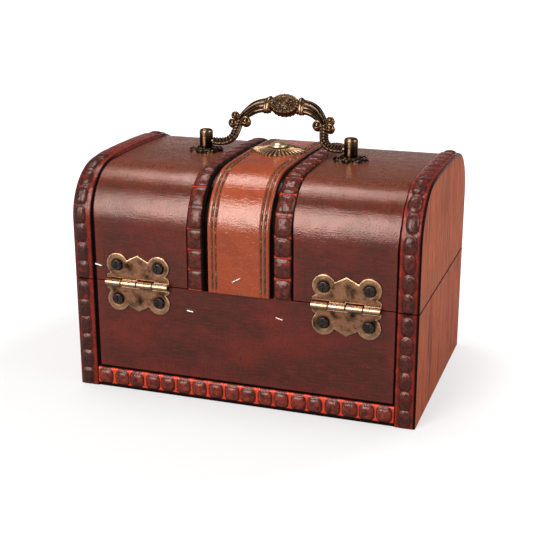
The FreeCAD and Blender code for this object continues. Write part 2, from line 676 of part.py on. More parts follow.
def latch_lid_plate():
    """Plate nailed to the lid's strap, with the two outer knuckles of the hasp's hinge."""

    def at(x, height):
        return V(x, -STRAP_FACE, HASP_AXIS_Z + height)

    plate = butterfly(at, LATCH_LEAF_SCALE, V(0, -LATCH_PLATE_THICKNESS, 0))
    inner = HASP_KNUCKLE_WIDTH / 2 + KNUCKLE_GAP
    relief = HASP_AXIS_Z + HASP_BARREL_RADIUS + LEAF_CLEARANCE
    slot = block(-inner, inner, HASP_AXIS_Y, -STRAP_FACE + OVERRUN, HASP_AXIS_Z - OVERRUN, relief)
    outer = LATCH_BARREL_HALF_WIDTH
    knuckles = [rod(HASP_BARREL_RADIUS, on_hasp_axis(side * inner), on_hasp_axis(side * outer))
                for side in (-1, 1)]
    return fused([plate.cut(slot)] + knuckles).cut([latch_bore()] + latch_lid_nails())


def latch_pin():
    return rod(HASP_PIN_RADIUS, on_hasp_axis(-LATCH_BARREL_HALF_WIDTH), on_hasp_axis(LATCH_BARREL_HALF_WIDTH))


def latch_hasp():
    """Slotted hasp, hanging clear of the staple."""
    back = -(STRAP_FACE + HASP_BACK_STANDOFF)
    thickness = V(0, -HASP_THICKNESS, 0)
    start = HASP_AXIS_Z - HASP_BARREL_RADIUS - LEAF_CLEARANCE
    neck = block(-HASP_NECK_HALF_WIDTH, HASP_NECK_HALF_WIDTH, back - HASP_THICKNESS, back, KEEPER_Z, start)
    centre = V(0, back, KEEPER_Z)
    disc = rod(HASP_DISC_RADIUS, centre, centre + thickness)
    disc_bottom = KEEPER_Z - HASP_DISC_RADIUS
    tip = polygon_plate([V(-HASP_TIP_HALF_WIDTH, back, disc_bottom + OVERRUN),
                         V(0, back, disc_bottom - HASP_TIP),
                         V(HASP_TIP_HALF_WIDTH, back, disc_bottom + OVERRUN)], thickness)
    inner = HASP_KNUCKLE_WIDTH / 2
    root = block(-inner, inner, back - HASP_THICKNESS, back, start - OVERRUN, HASP_AXIS_Z)
    knuckle = rod(HASP_BARREL_RADIUS, on_hasp_axis(-inner), on_hasp_axis(inner))
    slot = block(-SLOT_HALF_WIDTH, SLOT_HALF_WIDTH, back - HASP_THICKNESS - OVERRUN, back + OVERRUN,
                 KEEPER_Z - SLOT_HALF_HEIGHT, KEEPER_Z + SLOT_HALF_HEIGHT)
    hasp = fused([neck, disc, tip, root, knuckle]).cut([latch_bore(), slot])
    hasp.rotate(on_hasp_axis(0), X_AXIS, -HASP_LIFT)
    return hasp


def latch_staple():
    """Round-nosed staple that the hasp drops over, with its legs driven into the base."""
    legs = [rod(STAPLE_LOOP_WIRE, front_point(side * STAPLE_LOOP_RADIUS, -STAPLE_LOOP_ROOT, KEEPER_Z),
                front_point(side * STAPLE_LOOP_RADIUS, STAPLE_LOOP_REACH, KEEPER_Z)) for side in (-1, 1)]
    centre = front_point(0, STAPLE_LOOP_REACH, KEEPER_Z)
    ring = Part.makeTorus(STAPLE_LOOP_RADIUS, STAPLE_LOOP_WIRE, centre, Z_AXIS)
    reach = STAPLE_LOOP_RADIUS + STAPLE_LOOP_WIRE + OVERRUN
    nose = ring.common(block(-reach, reach, centre.y - reach, centre.y, KEEPER_Z - reach, KEEPER_Z + reach))
    return fused(legs + [nose])


def keeper_plate():
    """Plate on the base's strap, around the staple."""
    thickness = V(0, -LATCH_PLATE_THICKNESS, 0)
    corners = [(KEEPER_WAIST_X, KEEPER_WAIST_HEIGHT), (0, KEEPER_HALF_HEIGHT),
               (-KEEPER_WAIST_X, KEEPER_WAIST_HEIGHT)]
    outline = corners + [(-x, -height) for x, height in corners]
    body = polygon_plate([V(x, -STRAP_FACE, KEEPER_Z + height) for x, height in outline], thickness)
    lobes = []
    for side in (-1, 1):
        centre = V(side * KEEPER_NAIL_X, -STRAP_FACE, KEEPER_Z)
        lobes.append(rod(KEEPER_LOBE_RADIUS, centre, centre + thickness))
    return fused([body] + lobes).cut([latch_staple()] + keeper_nails())


# ---- Base and lid


def write_base_case(back_fasteners, front_fasteners):
    """Boards, trims, front strap and lining of the base."""
    inner_y = HALF_DEPTH - WALL_BOARD
    back = block(-INNER_X, INNER_X, inner_y, HALF_DEPTH, 0, BASE_TOP)
    front = block(-INNER_X, INNER_X, -HALF_DEPTH, -inner_y, 0, BASE_TOP)
    end = block(INNER_X, HALF_WIDTH, -HALF_DEPTH, HALF_DEPTH, 0, BASE_TOP)
    save("base_floor", block(-INNER_X, INNER_X, -inner_y, inner_y, 0, FLOOR_BOARD))
    save("base_back_board", drilled(back, back_fasteners))
    save("base_front_board", drilled(front, front_fasteners))
    save("base_right_end_board", end)
    save("base_left_end_board", mirrored(end, X_AXIS))
    save("base_lining", base_lining())
    corner = upright_trim(HALF_WIDTH - END_TRIM_WIDTH, HALF_WIDTH, 0, END_BEAD_PITCH)
    save("base_back_right_trim", corner)
    save("base_back_left_trim", mirrored(corner, X_AXIS))
    save("base_front_right_trim", mirrored(corner, Y_AXIS))
    save("base_front_left_trim", mirrored(mirrored(corner, X_AXIS), Y_AXIS))
    foot_end = HALF_WIDTH - END_TRIM_WIDTH
    foot = foot_trim(-foot_end, foot_end)
    save("base_back_foot_trim", foot)
    save("base_front_foot_trim", mirrored(foot, Y_AXIS))
    strap = block(-STRAP_HALF, STRAP_HALF, -STRAP_FACE, -HALF_DEPTH, FOOT_TRIM_HEIGHT, BASE_TOP)
    save("base_front_strap", drilled(strap, front_fasteners))
    side = upright_trim(STRAP_TRIM_X, STRAP_TRIM_X + STRAP_TRIM_WIDTH, FOOT_TRIM_HEIGHT, STRAP_BEAD_PITCH)
    save("base_strap_right_trim", mirrored(side, Y_AXIS))
    save("base_strap_left_trim", mirrored(mirrored(side, Y_AXIS), X_AXIS))


def write_lid_case(fasteners):
    """Boards, trims, strap and lining of the lid."""
    studs = [stud_hole(side * POST_SPACING / 2, inner_crown(), LID_CROWN_HEIGHT) for side in (-1, 1)]
    shell = arch_strip(-INNER_X, INNER_X, -LID_BOARD, 0)
    save("lid_shell", drilled(shell, fasteners + studs))
    end = arch_block(0, INNER_X, HALF_WIDTH)
    save("lid_right_end_board", end)
    save("lid_left_end_board", mirrored(end, X_AXIS))
    save("lid_lining", lid_lining())
    trim = arched_trim(HALF_WIDTH - END_TRIM_WIDTH, HALF_WIDTH, END_BEAD_PITCH)
    save("lid_right_end_trim", trim)
    save("lid_left_end_trim", mirrored(trim, X_AXIS))
    save("lid_strap", drilled(arch_strip(-STRAP_HALF, STRAP_HALF, 0, STRAP_THICKNESS), fasteners))
    side = arched_trim(STRAP_TRIM_X, STRAP_TRIM_X + STRAP_TRIM_WIDTH, STRAP_BEAD_PITCH)
    save("lid_strap_right_trim", side)
    save("lid_strap_left_trim", mirrored(side, X_AXIS))


def write_hinges(lid_screws, base_screws):
    for name, side in (("left", -1), ("right", 1)):
        x = side * HINGE_X
        save(name + "_hinge_lid_leaf", hinge_leaf(x, 1))
        save(name + "_hinge_base_leaf", hinge_leaf(x, -1))
        save(name + "_hinge_pin", hinge_pin(x))
    save("hinge_lid_screws", lid_screws)
    save("hinge_base_screws", base_screws)


def write_handle():
    for name, side in (("left", -1), ("right", 1)):
        save(name + "_handle_plate", handle_plate(side * POST_SPACING / 2))
        save(name + "_handle_post", handle_post(side))
    save("handle_washers", [handle_washer(side * POST_SPACING / 2) for side in (-1, 1)])
    save("handle_nuts", [handle_nut(side * POST_SPACING / 2) for side in (-1, 1)])
    save("handle_bail", handle_bail())


def write_latch():
    save("latch_lid_plate", latch_lid_plate())
    save("latch_pin", latch_pin())
    save("latch_lid_nails", latch_lid_nails())
    save("latch_hasp", latch_hasp())
    save("latch_keeper_plate", keeper_plate())
    save("latch_keeper_nails", keeper_nails())
    save("latch_staple", latch_staple())


def main():
    os.makedirs("parts", exist_ok=True)
    lid_screws = hinge_screws(1, LID_BOARD)
    base_screws = hinge_screws(-1, WALL_BOARD)
    base_staples = [wire_staple(x, z, tilt, STAPLE_CROWN, HALF_DEPTH) for x, z, tilt in BASE_STAPLES]
    lid_staple_x = HALF_WIDTH - LID_STAPLE_INSET
    lid_staples = [wire_staple(lid_staple_x, LID_STAPLE_HEIGHT, LID_STAPLE_TILT, STAPLE_CROWN, HALF_DEPTH)]
    strap_staples = [wire_staple(x, z, tilt, STRAP_STAPLE_CROWN, STRAP_FACE) for x, z, tilt in STRAP_STAPLES]
    write_base_case(base_screws + base_staples, keeper_nails() + [latch_staple()])
    write_lid_case(lid_screws + lid_staples + strap_staples + latch_lid_nails() + [rosette_nail()])
    write_hinges(lid_screws, base_screws)
    write_handle()
    write_latch()
    save("strap_rosette", rosette())
    save("strap_rosette_nail", rosette_nail())
    save("base_back_staples", base_staples)
    save("lid_back_staple", lid_staples)
    save("strap_staple", strap_staples)


main()
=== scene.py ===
"""Finishes and fine shapes of a small treasure chest with an arched lid, built around its solid model.

Everything is in metres, in the model's own frame: X along the width, +Y the back with its hinges, Z up.
"""
import json
import math
import random
from dataclasses import dataclass
from functools import partial

import bmesh
import bpy
import numpy as np
from mathutils import Matrix, Vector
from mathutils.geometry import delaunay_2d_cdt


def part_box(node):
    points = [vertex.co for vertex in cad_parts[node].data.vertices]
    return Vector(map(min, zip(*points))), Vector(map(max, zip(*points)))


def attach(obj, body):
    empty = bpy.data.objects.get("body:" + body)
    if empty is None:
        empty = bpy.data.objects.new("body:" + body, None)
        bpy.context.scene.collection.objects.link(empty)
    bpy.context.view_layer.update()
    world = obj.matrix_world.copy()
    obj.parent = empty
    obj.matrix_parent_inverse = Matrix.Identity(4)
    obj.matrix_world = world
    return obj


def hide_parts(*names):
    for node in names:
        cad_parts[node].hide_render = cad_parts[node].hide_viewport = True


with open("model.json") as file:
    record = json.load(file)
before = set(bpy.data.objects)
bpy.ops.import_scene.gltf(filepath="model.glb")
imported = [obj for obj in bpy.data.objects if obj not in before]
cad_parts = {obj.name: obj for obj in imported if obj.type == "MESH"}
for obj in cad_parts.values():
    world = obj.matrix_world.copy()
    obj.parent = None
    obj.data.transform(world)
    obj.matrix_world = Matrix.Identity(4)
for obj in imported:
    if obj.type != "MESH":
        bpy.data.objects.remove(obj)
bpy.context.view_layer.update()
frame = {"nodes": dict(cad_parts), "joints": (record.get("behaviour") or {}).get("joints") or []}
JOINTS = {joint["name"]: joint for joint in frame["joints"]}

bl_info = {
    "name": "Treasure Chest Finishes",
    "version": (1, 0, 0),
    "blender": (4, 5, 0),
    "location": "3D View > Sidebar > Chest",
    "description": "Builds the beading, leather, castings and finishes of a small treasure chest",
    "category": "Add Mesh",
}

MM = 0.001
X_AXIS, Y_AXIS, Z_AXIS = (1, 0, 0), (0, 1, 0), (0, 0, 1)
FACES = (("back", 1), ("front", -1))
# edges bent by more than this stay sharp: on plain, carved and pressed pieces, and on beading
SHARP_ANGLE, CARVED_ANGLE, PRESSED_ANGLE, BEADED_ANGLE = (math.radians(turn) for turn in (40, 50, 60, 70))

# The case, as the solid model has it
SHELL_LOW, SHELL_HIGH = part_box("lid_shell")
BASE_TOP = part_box("base_back_board")[1].z
HALF_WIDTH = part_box("base_right_end_board")[1].x
HALF_DEPTH = SHELL_HIGH.y
LID_BOTTOM = SHELL_LOW.z
CROWN_TOP = SHELL_HIGH.z
TRIM_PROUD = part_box("lid_right_end_trim")[1].z - CROWN_TOP
CORNER_RADIUS = 24 * MM
CROWN_RADIUS = 700 * MM
CORNER_Y = HALF_DEPTH - CORNER_RADIUS
CROWN_CENTRE_Z = CROWN_TOP - CROWN_RADIUS
CORNER_Z = CROWN_CENTRE_Z + math.sqrt((CROWN_RADIUS - CORNER_RADIUS) ** 2 - CORNER_Y ** 2)
CROWN_HALF_ANGLE = math.atan2(CORNER_Y, CORNER_Z - CROWN_CENTRE_Z)
BEND_ANGLE = math.pi / 2 - CROWN_HALF_ANGLE
SIDE_RUN = CORNER_Z - LID_BOTTOM
BEND_RUN = CORNER_RADIUS * BEND_ANGLE
ARCH_RUN = 2 * (SIDE_RUN + BEND_RUN + CROWN_RADIUS * CROWN_HALF_ANGLE)
END_TRIM_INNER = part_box("lid_right_end_trim")[0].x
STRAP_TRIM_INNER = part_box("lid_strap_right_trim")[0].x
STRAP_TRIM_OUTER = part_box("lid_strap_right_trim")[1].x
STRAP_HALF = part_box("lid_strap")[1].x
STRAP_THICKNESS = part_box("lid_strap")[1].z - CROWN_TOP
FOOT_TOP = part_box("base_back_foot_trim")[1].z


# ---- Colours and nodes


def linear(hex_colour):
    """Linear RGBA of an sRGB hex colour."""
    channels = [int(hex_colour[i:i + 2], 16) / 255 for i in (1, 3, 5)]
    return tuple(c / 12.92 if c <= 0.04045 else ((c + 0.055) / 1.055) ** 2.4 for c in channels) + (1.0,)


def colour_property(name, description, hex_colour):
    return bpy.props.FloatVectorProperty(name=name, description=description, subtype="COLOR", size=4,
                                         min=0, max=1, default=linear(hex_colour))


def length_property(name, description, millimetres):
    return bpy.props.FloatProperty(name=name, description=description, unit="LENGTH", min=0,
                                   default=millimetres * MM)


def pattern_scale(millimetres):
    """Texture scale at which one feature of a pattern measures this much."""
    return 1 / (millimetres * MM)


def add_node(tree, kind, inputs=(), **settings):
    """One shader node with its settings and links; an input takes a value, an output or a node."""
    node = tree.nodes.new("ShaderNode" + kind)
    for name, value in settings.items():
        setattr(node, name, value)
    for name, value in dict(inputs).items():
        offered = [socket for socket in node.inputs if socket.enabled]
        socket = offered[name] if isinstance(name, int) else next(s for s in offered if s.name == name)
        if isinstance(value, bpy.types.Node):
            value = next(output for output in value.outputs if output.enabled)
        if isinstance(value, bpy.types.NodeSocket):
            tree.links.new(value, socket)
        else:
            socket.default_value = value
    return node


def new_material(name):
    material = bpy.data.materials.new(name)
    material.use_nodes = True
    material.node_tree.nodes.clear()
    return material, material.node_tree


def spot_on_piece(tree, stretch=(1, 1, 1)):
    """The point in the piece's own frame; an axis with a share under 1 draws its pattern out."""
    point = add_node(tree, "TexCoord").outputs["Object"]
    return add_node(tree, "Mapping", {"Vector": point, "Scale": stretch}).outputs[0]


def mottling(tree, point, size, low, high, detail=3.0):
    """Mask of soft patches of about this size in millimetres; a wide low to high gives soft edges."""
    patches = add_node(tree, "TexNoise", {"Vector": point, "Scale": pattern_scale(size), "Detail": detail})
    return add_node(tree, "MapRange", {"Value": patches, "From Min": low, "From Max": high})


def coats(tree, ground, *layers):
    """Colour of a ground under layers of colour, each with its own mask."""
    colour = ground
    for mask, coat in layers:
        colour = add_node(tree, "Mix", {"Factor": mask, "A": colour, "B": coat}, data_type="RGBA")
    return colour


def where_all(tree, *masks):
    """Mask of the places that all of these masks cover."""
    covered = masks[0]
    for mask in masks[1:]:
        covered = add_node(tree, "Math", {0: covered, 1: mask}, operation="MULTIPLY")
    return covered


def painted_values(tree, *names):
    """Values painted on the points of a piece, by name."""
    return {name: add_node(tree, "Attribute", attribute_name=name).outputs["Fac"] for name in names}


def patchy_gloss(tree, point, size, smooth, rough, patches_from=0.3):
    """Roughness that drifts between two values in soft patches of about this size in millimetres."""
    patches = mottling(tree, point, size, patches_from, 0.7)
    return add_node(tree, "MapRange", {"Value": patches, "To Min": smooth, "To Max": rough})


def relief(tree, *layers):
    """Normal of a surface under layers of relief, each with its depth in millimetres. A layer is a height,
    or a noise's point, size in millimetres and detail."""
    normal = None
    for height, depth in layers:
        if isinstance(height, tuple):
            point, size, detail = height
            height = add_node(tree, "TexNoise", {"Vector": point, "Scale": pattern_scale(size),
                                                 "Detail": detail})
        inputs = {"Height": height, "Distance": depth * MM}
        if normal is not None:
            inputs["Normal"] = normal
        normal = add_node(tree, "Bump", inputs)
    return normal


def surface(tree, colour, roughness, normal, **others):
    """Principled surface; its other inputs go by their own names, with _ for a space."""
    inputs = {"Base Color": colour, "Roughness": roughness, "Normal": normal}
    inputs.update({name.replace("_", " "): value for name, value in others.items()})
    shader = add_node(tree, "BsdfPrincipled", inputs)
    add_node(tree, "OutputMaterial", {"Surface": shader})


def dress(nodes, material):
    """Gives pieces of the solid model their material."""
    for name in nodes:
        slots = frame["nodes"][name].material_slots
        for slot in slots:
            slot.material = material
        if not slots:
            frame["nodes"][name].data.materials.append(material)


# ---- Shapes


class Shape:
    """Mesh in the making: points, faces, and values painted on the points."""

    def __init__(self):
        self.points = []
        self.faces = []
        self.paint = {}

    def add(self, points, faces, **paint):
        first = len(self.points)
        self.points.extend(map(tuple, points))
        self.faces.extend([tuple(first + corner for corner in face) for face in faces])
        for name, values in paint.items():
            known = self.paint.setdefault(name, [])
            known.extend([0.0] * (first - len(known)))
            known.extend(np.broadcast_to(values, len(points)).tolist())

    def skin(self, rings, **paint):
        """Skin over rings of points, with a face over each end."""
        rings = np.asarray(rings)
        count, around = rings.shape[:2]
        last = (count - 1) * around
        faces = []
        for here in range(0, last, around):
            there = here + around
            faces.extend((here + j, here + (j + 1) % around, there + (j + 1) % around, there + j)
                         for j in range(around))
        faces += [tuple(range(around))[::-1], tuple(range(last, last + around))]
        flat = {name: np.broadcast_to(values, (count, around)).reshape(-1) for name, values in paint.items()}
        self.add(rings.reshape(-1, 3), faces, **flat)


def full_turn(count):
    """Angles of points spaced evenly round a full turn."""
    return 2 * np.pi * np.arange(count) / count


def points_at(x, y, z):
    """Points at these coordinates, which are spread to one shape."""
    return np.stack(np.broadcast_arrays(x, y, z), -1)


def by_ring(*values):
    """Values to paint on a skin, one for each of its rings."""
    return np.reshape(values, (-1, 1))


def turned(profile, sides, centre, axis=Z_AXIS, side=X_AXIS):
    """Rings of a turned form: profile gives radius and height, from one end to the other."""
    axis, side = Vector(axis), Vector(side)
    turns = full_turn(sides)
    spokes = np.outer(np.cos(turns), side) + np.outer(np.sin(turns), axis.cross(side))
    return [np.asarray(centre) + radius * spokes + height * np.asarray(axis) for radius, height in profile]


def add_object(name, data):
    added = bpy.data.objects.new(name, data)
    bpy.context.scene.collection.objects.link(added)
    return added


def make_piece(shape, name, material, body, replaced=(), sharp_from=SHARP_ANGLE):
    """Object of a shape, with its material, its body and the solid pieces it stands for."""
    mesh = bpy.data.meshes.new(name)
    mesh.from_pydata(shape.points, [], shape.faces)
    edit = bmesh.new()
    edit.from_mesh(mesh)
    bmesh.ops.recalc_face_normals(edit, faces=edit.faces)
    edit.to_mesh(mesh)
    edit.free()
    for label, values in shape.paint.items():
        values = values + [0.0] * (len(shape.points) - len(values))
        mesh.attributes.new(label, "FLOAT", "POINT").data.foreach_set("value", values)
    mesh.polygons.foreach_set("use_smooth", [True] * len(mesh.polygons))
    mesh.set_sharp_from_angle(angle=sharp_from)
    mesh.materials.append(material)
    piece = add_object(name, mesh)
    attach(piece, body)
    if replaced:
        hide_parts(*replaced)


def arch_path(runs):
    """Points and outward normals on the lid board, at runs from its back edge over the top to its front."""
    hand = np.where(runs > ARCH_RUN / 2, -1.0, 1.0)
    run = np.minimum(runs, ARCH_RUN - runs)
    on_side = run < SIDE_RUN
    on_bend = run < SIDE_RUN + BEND_RUN
    crown_angle = np.pi / 2 - (ARCH_RUN / 2 - run) / CROWN_RADIUS
    angle = np.where(on_side, 0.0, np.where(on_bend, (run - SIDE_RUN) / CORNER_RADIUS, crown_angle))
    radius = np.where(on_bend, CORNER_RADIUS, CROWN_RADIUS)
    y = np.where(on_bend, CORNER_Y, 0.0) + radius * np.cos(angle)
    z = np.where(on_bend, CORNER_Z, CROWN_CENTRE_Z) + radius * np.sin(angle)
    z = np.where(on_side, LID_BOTTOM + run, z)
    return points_at(0, hand * y, z), points_at(0, hand * np.cos(angle), np.sin(angle))


def wall_path(runs, hand, bottom):
    """Points and normals up the back (hand 1) or front (hand -1) of the base, at runs above the bottom."""
    return points_at(0, hand * HALF_DEPTH, bottom + runs), points_at(0, hand, np.zeros_like(runs))


def foot_path(runs, hand, start):
    """Points and normals along the foot of the back (hand 1) or front (hand -1), at runs from this X."""
    return points_at(start + runs, hand * HALF_DEPTH, 0), points_at(0, hand, np.zeros_like(runs))


def strip_rings(points, normals, across, places, heights):
    """Rings of a strip: its face stands heights above the path at places across it, and its back is flat."""
    across = np.asarray(across)
    face = points[:, None] + places[None, :, None] * across + heights[:, :, None] * normals[:, None]
    low = points[:, None] + places[None, :1, None] * across
    high = points[:, None] + places[None, -1:, None] * across
    return np.concatenate([low, face, high], 1)


def strip_paint(values):
    """Painted values of a strip's face, run on down its two flanks."""
    return np.concatenate([values[:, :1], values, values[:, -1:]], 1)


def soft_step(values, low, high):
    """0 at low and 1 at high, eased at both ends; low may be the larger."""
    share = np.clip((values - low) / (high - low), 0, 1)
    return share * share * (3 - 2 * share)


# ---- What a user may change


class ChestCaseSettings(bpy.types.PropertyGroup):
    plum: colour_property("Covering", "Grained covering of the boards", "#441c16")
    plum_red: colour_property("Covering, red", "Redder patches of the covering", "#622018")
    plum_dark: colour_property("Covering, dark", "Darker patches of the covering", "#2c1713")
    # painted sheen: the top of the lid is painted paler and browner, where the studio's light lies on it
    plum_top_sheen: colour_property("Covering, faded", "Browner covering on the top of the lid", "#80492f")
    stain: colour_property("End stain", "Stained wood of the two ends", "#c5623c")
    stain_low: colour_property("End stain, low", "Redder stain towards the foot of the ends", "#b25434")
    stain_dark: colour_property("End stain, dark", "Darker grain of the two ends", "#70372a")
    stain_patch: colour_property("End stain, patches", "Browner patches of the two ends", "#a5603f")
    flock: colour_property("Lining", "Flock inside the base and the lid", "#5a1418")
    flock_dark: colour_property("Lining, dark", "Shade between the fibres", "#3a0c10")
    flock_pale: colour_property("Lining, pale", "Patches where the flock lies flat", "#6d1a1e")
    bare_wood: colour_property("Bare board", "Underside of the floor", "#b08a5e")
    bare_wood_dark: colour_property("Bare board, dark", "Grain of the floor's underside", "#8a653d")
    # black of the lines beside the trims: partly paint, partly painted shadow cast by the trims
    line: colour_property("Line black", "Black painted lines", "#0a0605")
    shine: colour_property("Covering's shine", "Tint of the lights on the covering", "#ffd4c6")
    # the lines are partly black paint and partly painted shadow; the shift widens the end trims' lines on
    # the side turned from the key lamp
    shadow_line: length_property("Shadow line", "Black painted line beside the trims", 1.15)
    shadow_shift: length_property("Line shift", "By which the lines are wider on the trims' left side", 0.2)


class ChestTrimSettings(bpy.types.PropertyGroup):
    end_pitch: length_property("End bead pitch", "Spacing of the beads on the end trims", 8.5)
    strap_pitch: length_property("Strap bead pitch", "Spacing of the beads beside the strap", 9.3)
    foot_pitch: length_property("Foot bead pitch", "Spacing of the beads on the foot trims", 7.83)
    step: length_property("Fineness", "Spacing of the points that shape the beads", 0.33)
    ground: colour_property("Ground", "Red ground between the beads", "#7a2013")
    ground_dark: colour_property("Ground, dark", "Darker patches of the ground", "#5f1b14")
    # also painted on the edge of a trim turned to the light, as painted light
    fire: colour_property("Fire red", "Brightest red in the grooves", "#d03c1e")
    bead: colour_property("Bead", "Brown of the beads", "#351b18")
    blush: colour_property("Bead, rubbed", "Plum red of the beads where the brown is rubbed thin", "#843428")
    bead_dark: colour_property("Bead, dark", "Dark patches of the beads", "#1f100e")
    # pale upper rims of the beads: partly rubbed wear, partly painted highlight
    rim: colour_property("Rubbed rim", "Pale rubbed edges of the beads", "#c48674")
    # also painted down the flank turned from the light, as painted shade
    black: colour_property("Flank", "Nearly black brown in the corners of the trims", "#150b09")
    shine: colour_property("Trims' shine", "Tint of the lights on the beads", "#ffe6dd")


class ChestStrapSettings(bpy.types.PropertyGroup):
    leather: colour_property("Leather", "Tan leather", "#8e3b1d")
    leather_dark: colour_property("Leather, dark", "Darker patches and creases", "#7a2d18")
    leather_pale: colour_property("Leather, pale", "Paler flecks", "#9c4c2e")
    shine: colour_property("Leather's shine", "Tint of the lights on the wax", "#ffeade")
    edge: colour_property("Cut edge", "Inked edge of the leather", "#3a1a10")
    thread: colour_property("Thread", "Stitching", "#41321f")
    thread_dark: colour_property("Thread, dark", "Soiled stretches of the thread", "#2b2013")
    thread_pale: colour_property("Thread, pale", "Clean stretches of the thread", "#8a7550")
    stitch: length_property("Stitch", "Length of one stitch", 3.7)
    gap: length_property("Stitch gap", "Gap between two stitches", 0.8)
    thread_width: length_property("Thread width", "Thickness of the thread", 0.85)


class ChestMetalSettings(bpy.types.PropertyGroup):
    brass: colour_property("Antique brass", "Leaves of the hinges and the latch", "#a7775a")
    brass_dark: colour_property("Brass patina", "Dark patches of the old brass", "#3a2a1c")
    brass_rubbed: colour_property("Rubbed brass", "Bright edges and knuckles", "#eec096")
    brass_bright: colour_property("Bright brass", "Brightest rubbed spots", "#ffe2ad")
    barrel: colour_property("Knuckles", "Rolled knuckles of the hinges", "#9c7a5c")
    barrel_rubbed: colour_property("Knuckles, rubbed", "Bright spots of the knuckles", "#f6dcbc")
    latch: colour_property("Latch brass", "Plates and hasp of the latch", "#c59c66")
    bronze: colour_property("Bronze", "Faces of the castings", "#594637")
    bronze_dark: colour_property("Bronze patina", "Hollows of the castings", "#130d0a")
    bronze_rubbed: colour_property("Rubbed bronze", "Ridges of the castings", "#a37f5e")
    rosette: colour_property("Rosette", "Olive brass of the rosette", "#5a4a2e")
    steel: colour_property("Steel wire", "Staples and fasteners", "#f2e9df")
    steel_dull: colour_property("Steel wire, dull", "Dull patches of the staples and fasteners", "#c9beb2")
    screw: colour_property("Blackened steel", "Screws", "#4b4440")
    screw_dark: colour_property("Blackened steel, dark", "Hollows of the screws", "#14110f")


class ChestStageSettings(bpy.types.PropertyGroup):
    azimuth: bpy.props.FloatProperty(name="Azimuth", description="Camera's bearing, from the front",
                                     unit="ROTATION", default=math.radians(199.05))
    elevation: bpy.props.FloatProperty(name="Elevation", description="Camera's height over the level",
                                       unit="ROTATION", default=math.radians(17.76))
    roll: bpy.props.FloatProperty(name="Roll", description="Camera's turn about its line of sight",
                                  unit="ROTATION", default=math.radians(-0.16))
    distance: length_property("Distance", "From the camera to the point it looks at", 541.0)
    lens: bpy.props.FloatProperty(name="Lens", description="Focal length in millimetres", unit="CAMERA",
                                  default=75.98)
    floor: colour_property("Floor", "Pale floor", "#959493")
    floor_in_gloss: colour_property("Floor in gloss", "Floor as shiny things show it", "#707070")
    key_watts: bpy.props.FloatProperty(name="Key lamp", description="Power of the softbox behind the chest",
                                       unit="POWER", default=12.5)
    top_watts: bpy.props.FloatProperty(name="Top lamp", description="Power of the softbox over the front",
                                       unit="POWER", default=3.7)
    fill_watts: bpy.props.FloatProperty(name="Fill lamp", description="Power of the softbox at the left end",
                                        unit="POWER", default=7.0)


# ---- Boards

LINE_LAP = 0.3 * MM                # by which the strap's lines reach under its trims
FOOT_LINE_RISE = 0.2 * MM          # from the foot trim's top to the middle of its line
LINE_CORE = 0.75                   # share of a line's width that is all black
LINE_NARROWING = 3.2               # how many times narrower the lines are on top of the lid
BLUSH_REACH = 5                    # widths of a line over which the covering reddens beside it
TOP_SHEEN_FROM = CORNER_Z + 12 * MM     # the covering is painted paler from here up, as painted sheen on the top of the lid
TOP_SHEEN_TO = CROWN_TOP - 0.5 * MM     # to here
TOP_SHEEN_SHARE = 0.5
LOW_STAIN_FROM = 70 * MM           # the ends redden from here
LOW_STAIN_TO = 10 * MM             # down to here
LOW_STAIN_SHARE = 0.7
SPLIT_LOW, SPLIT_HIGH = 0.3 * MM, 0.8 * MM     # reach of the dark band beside the parting line
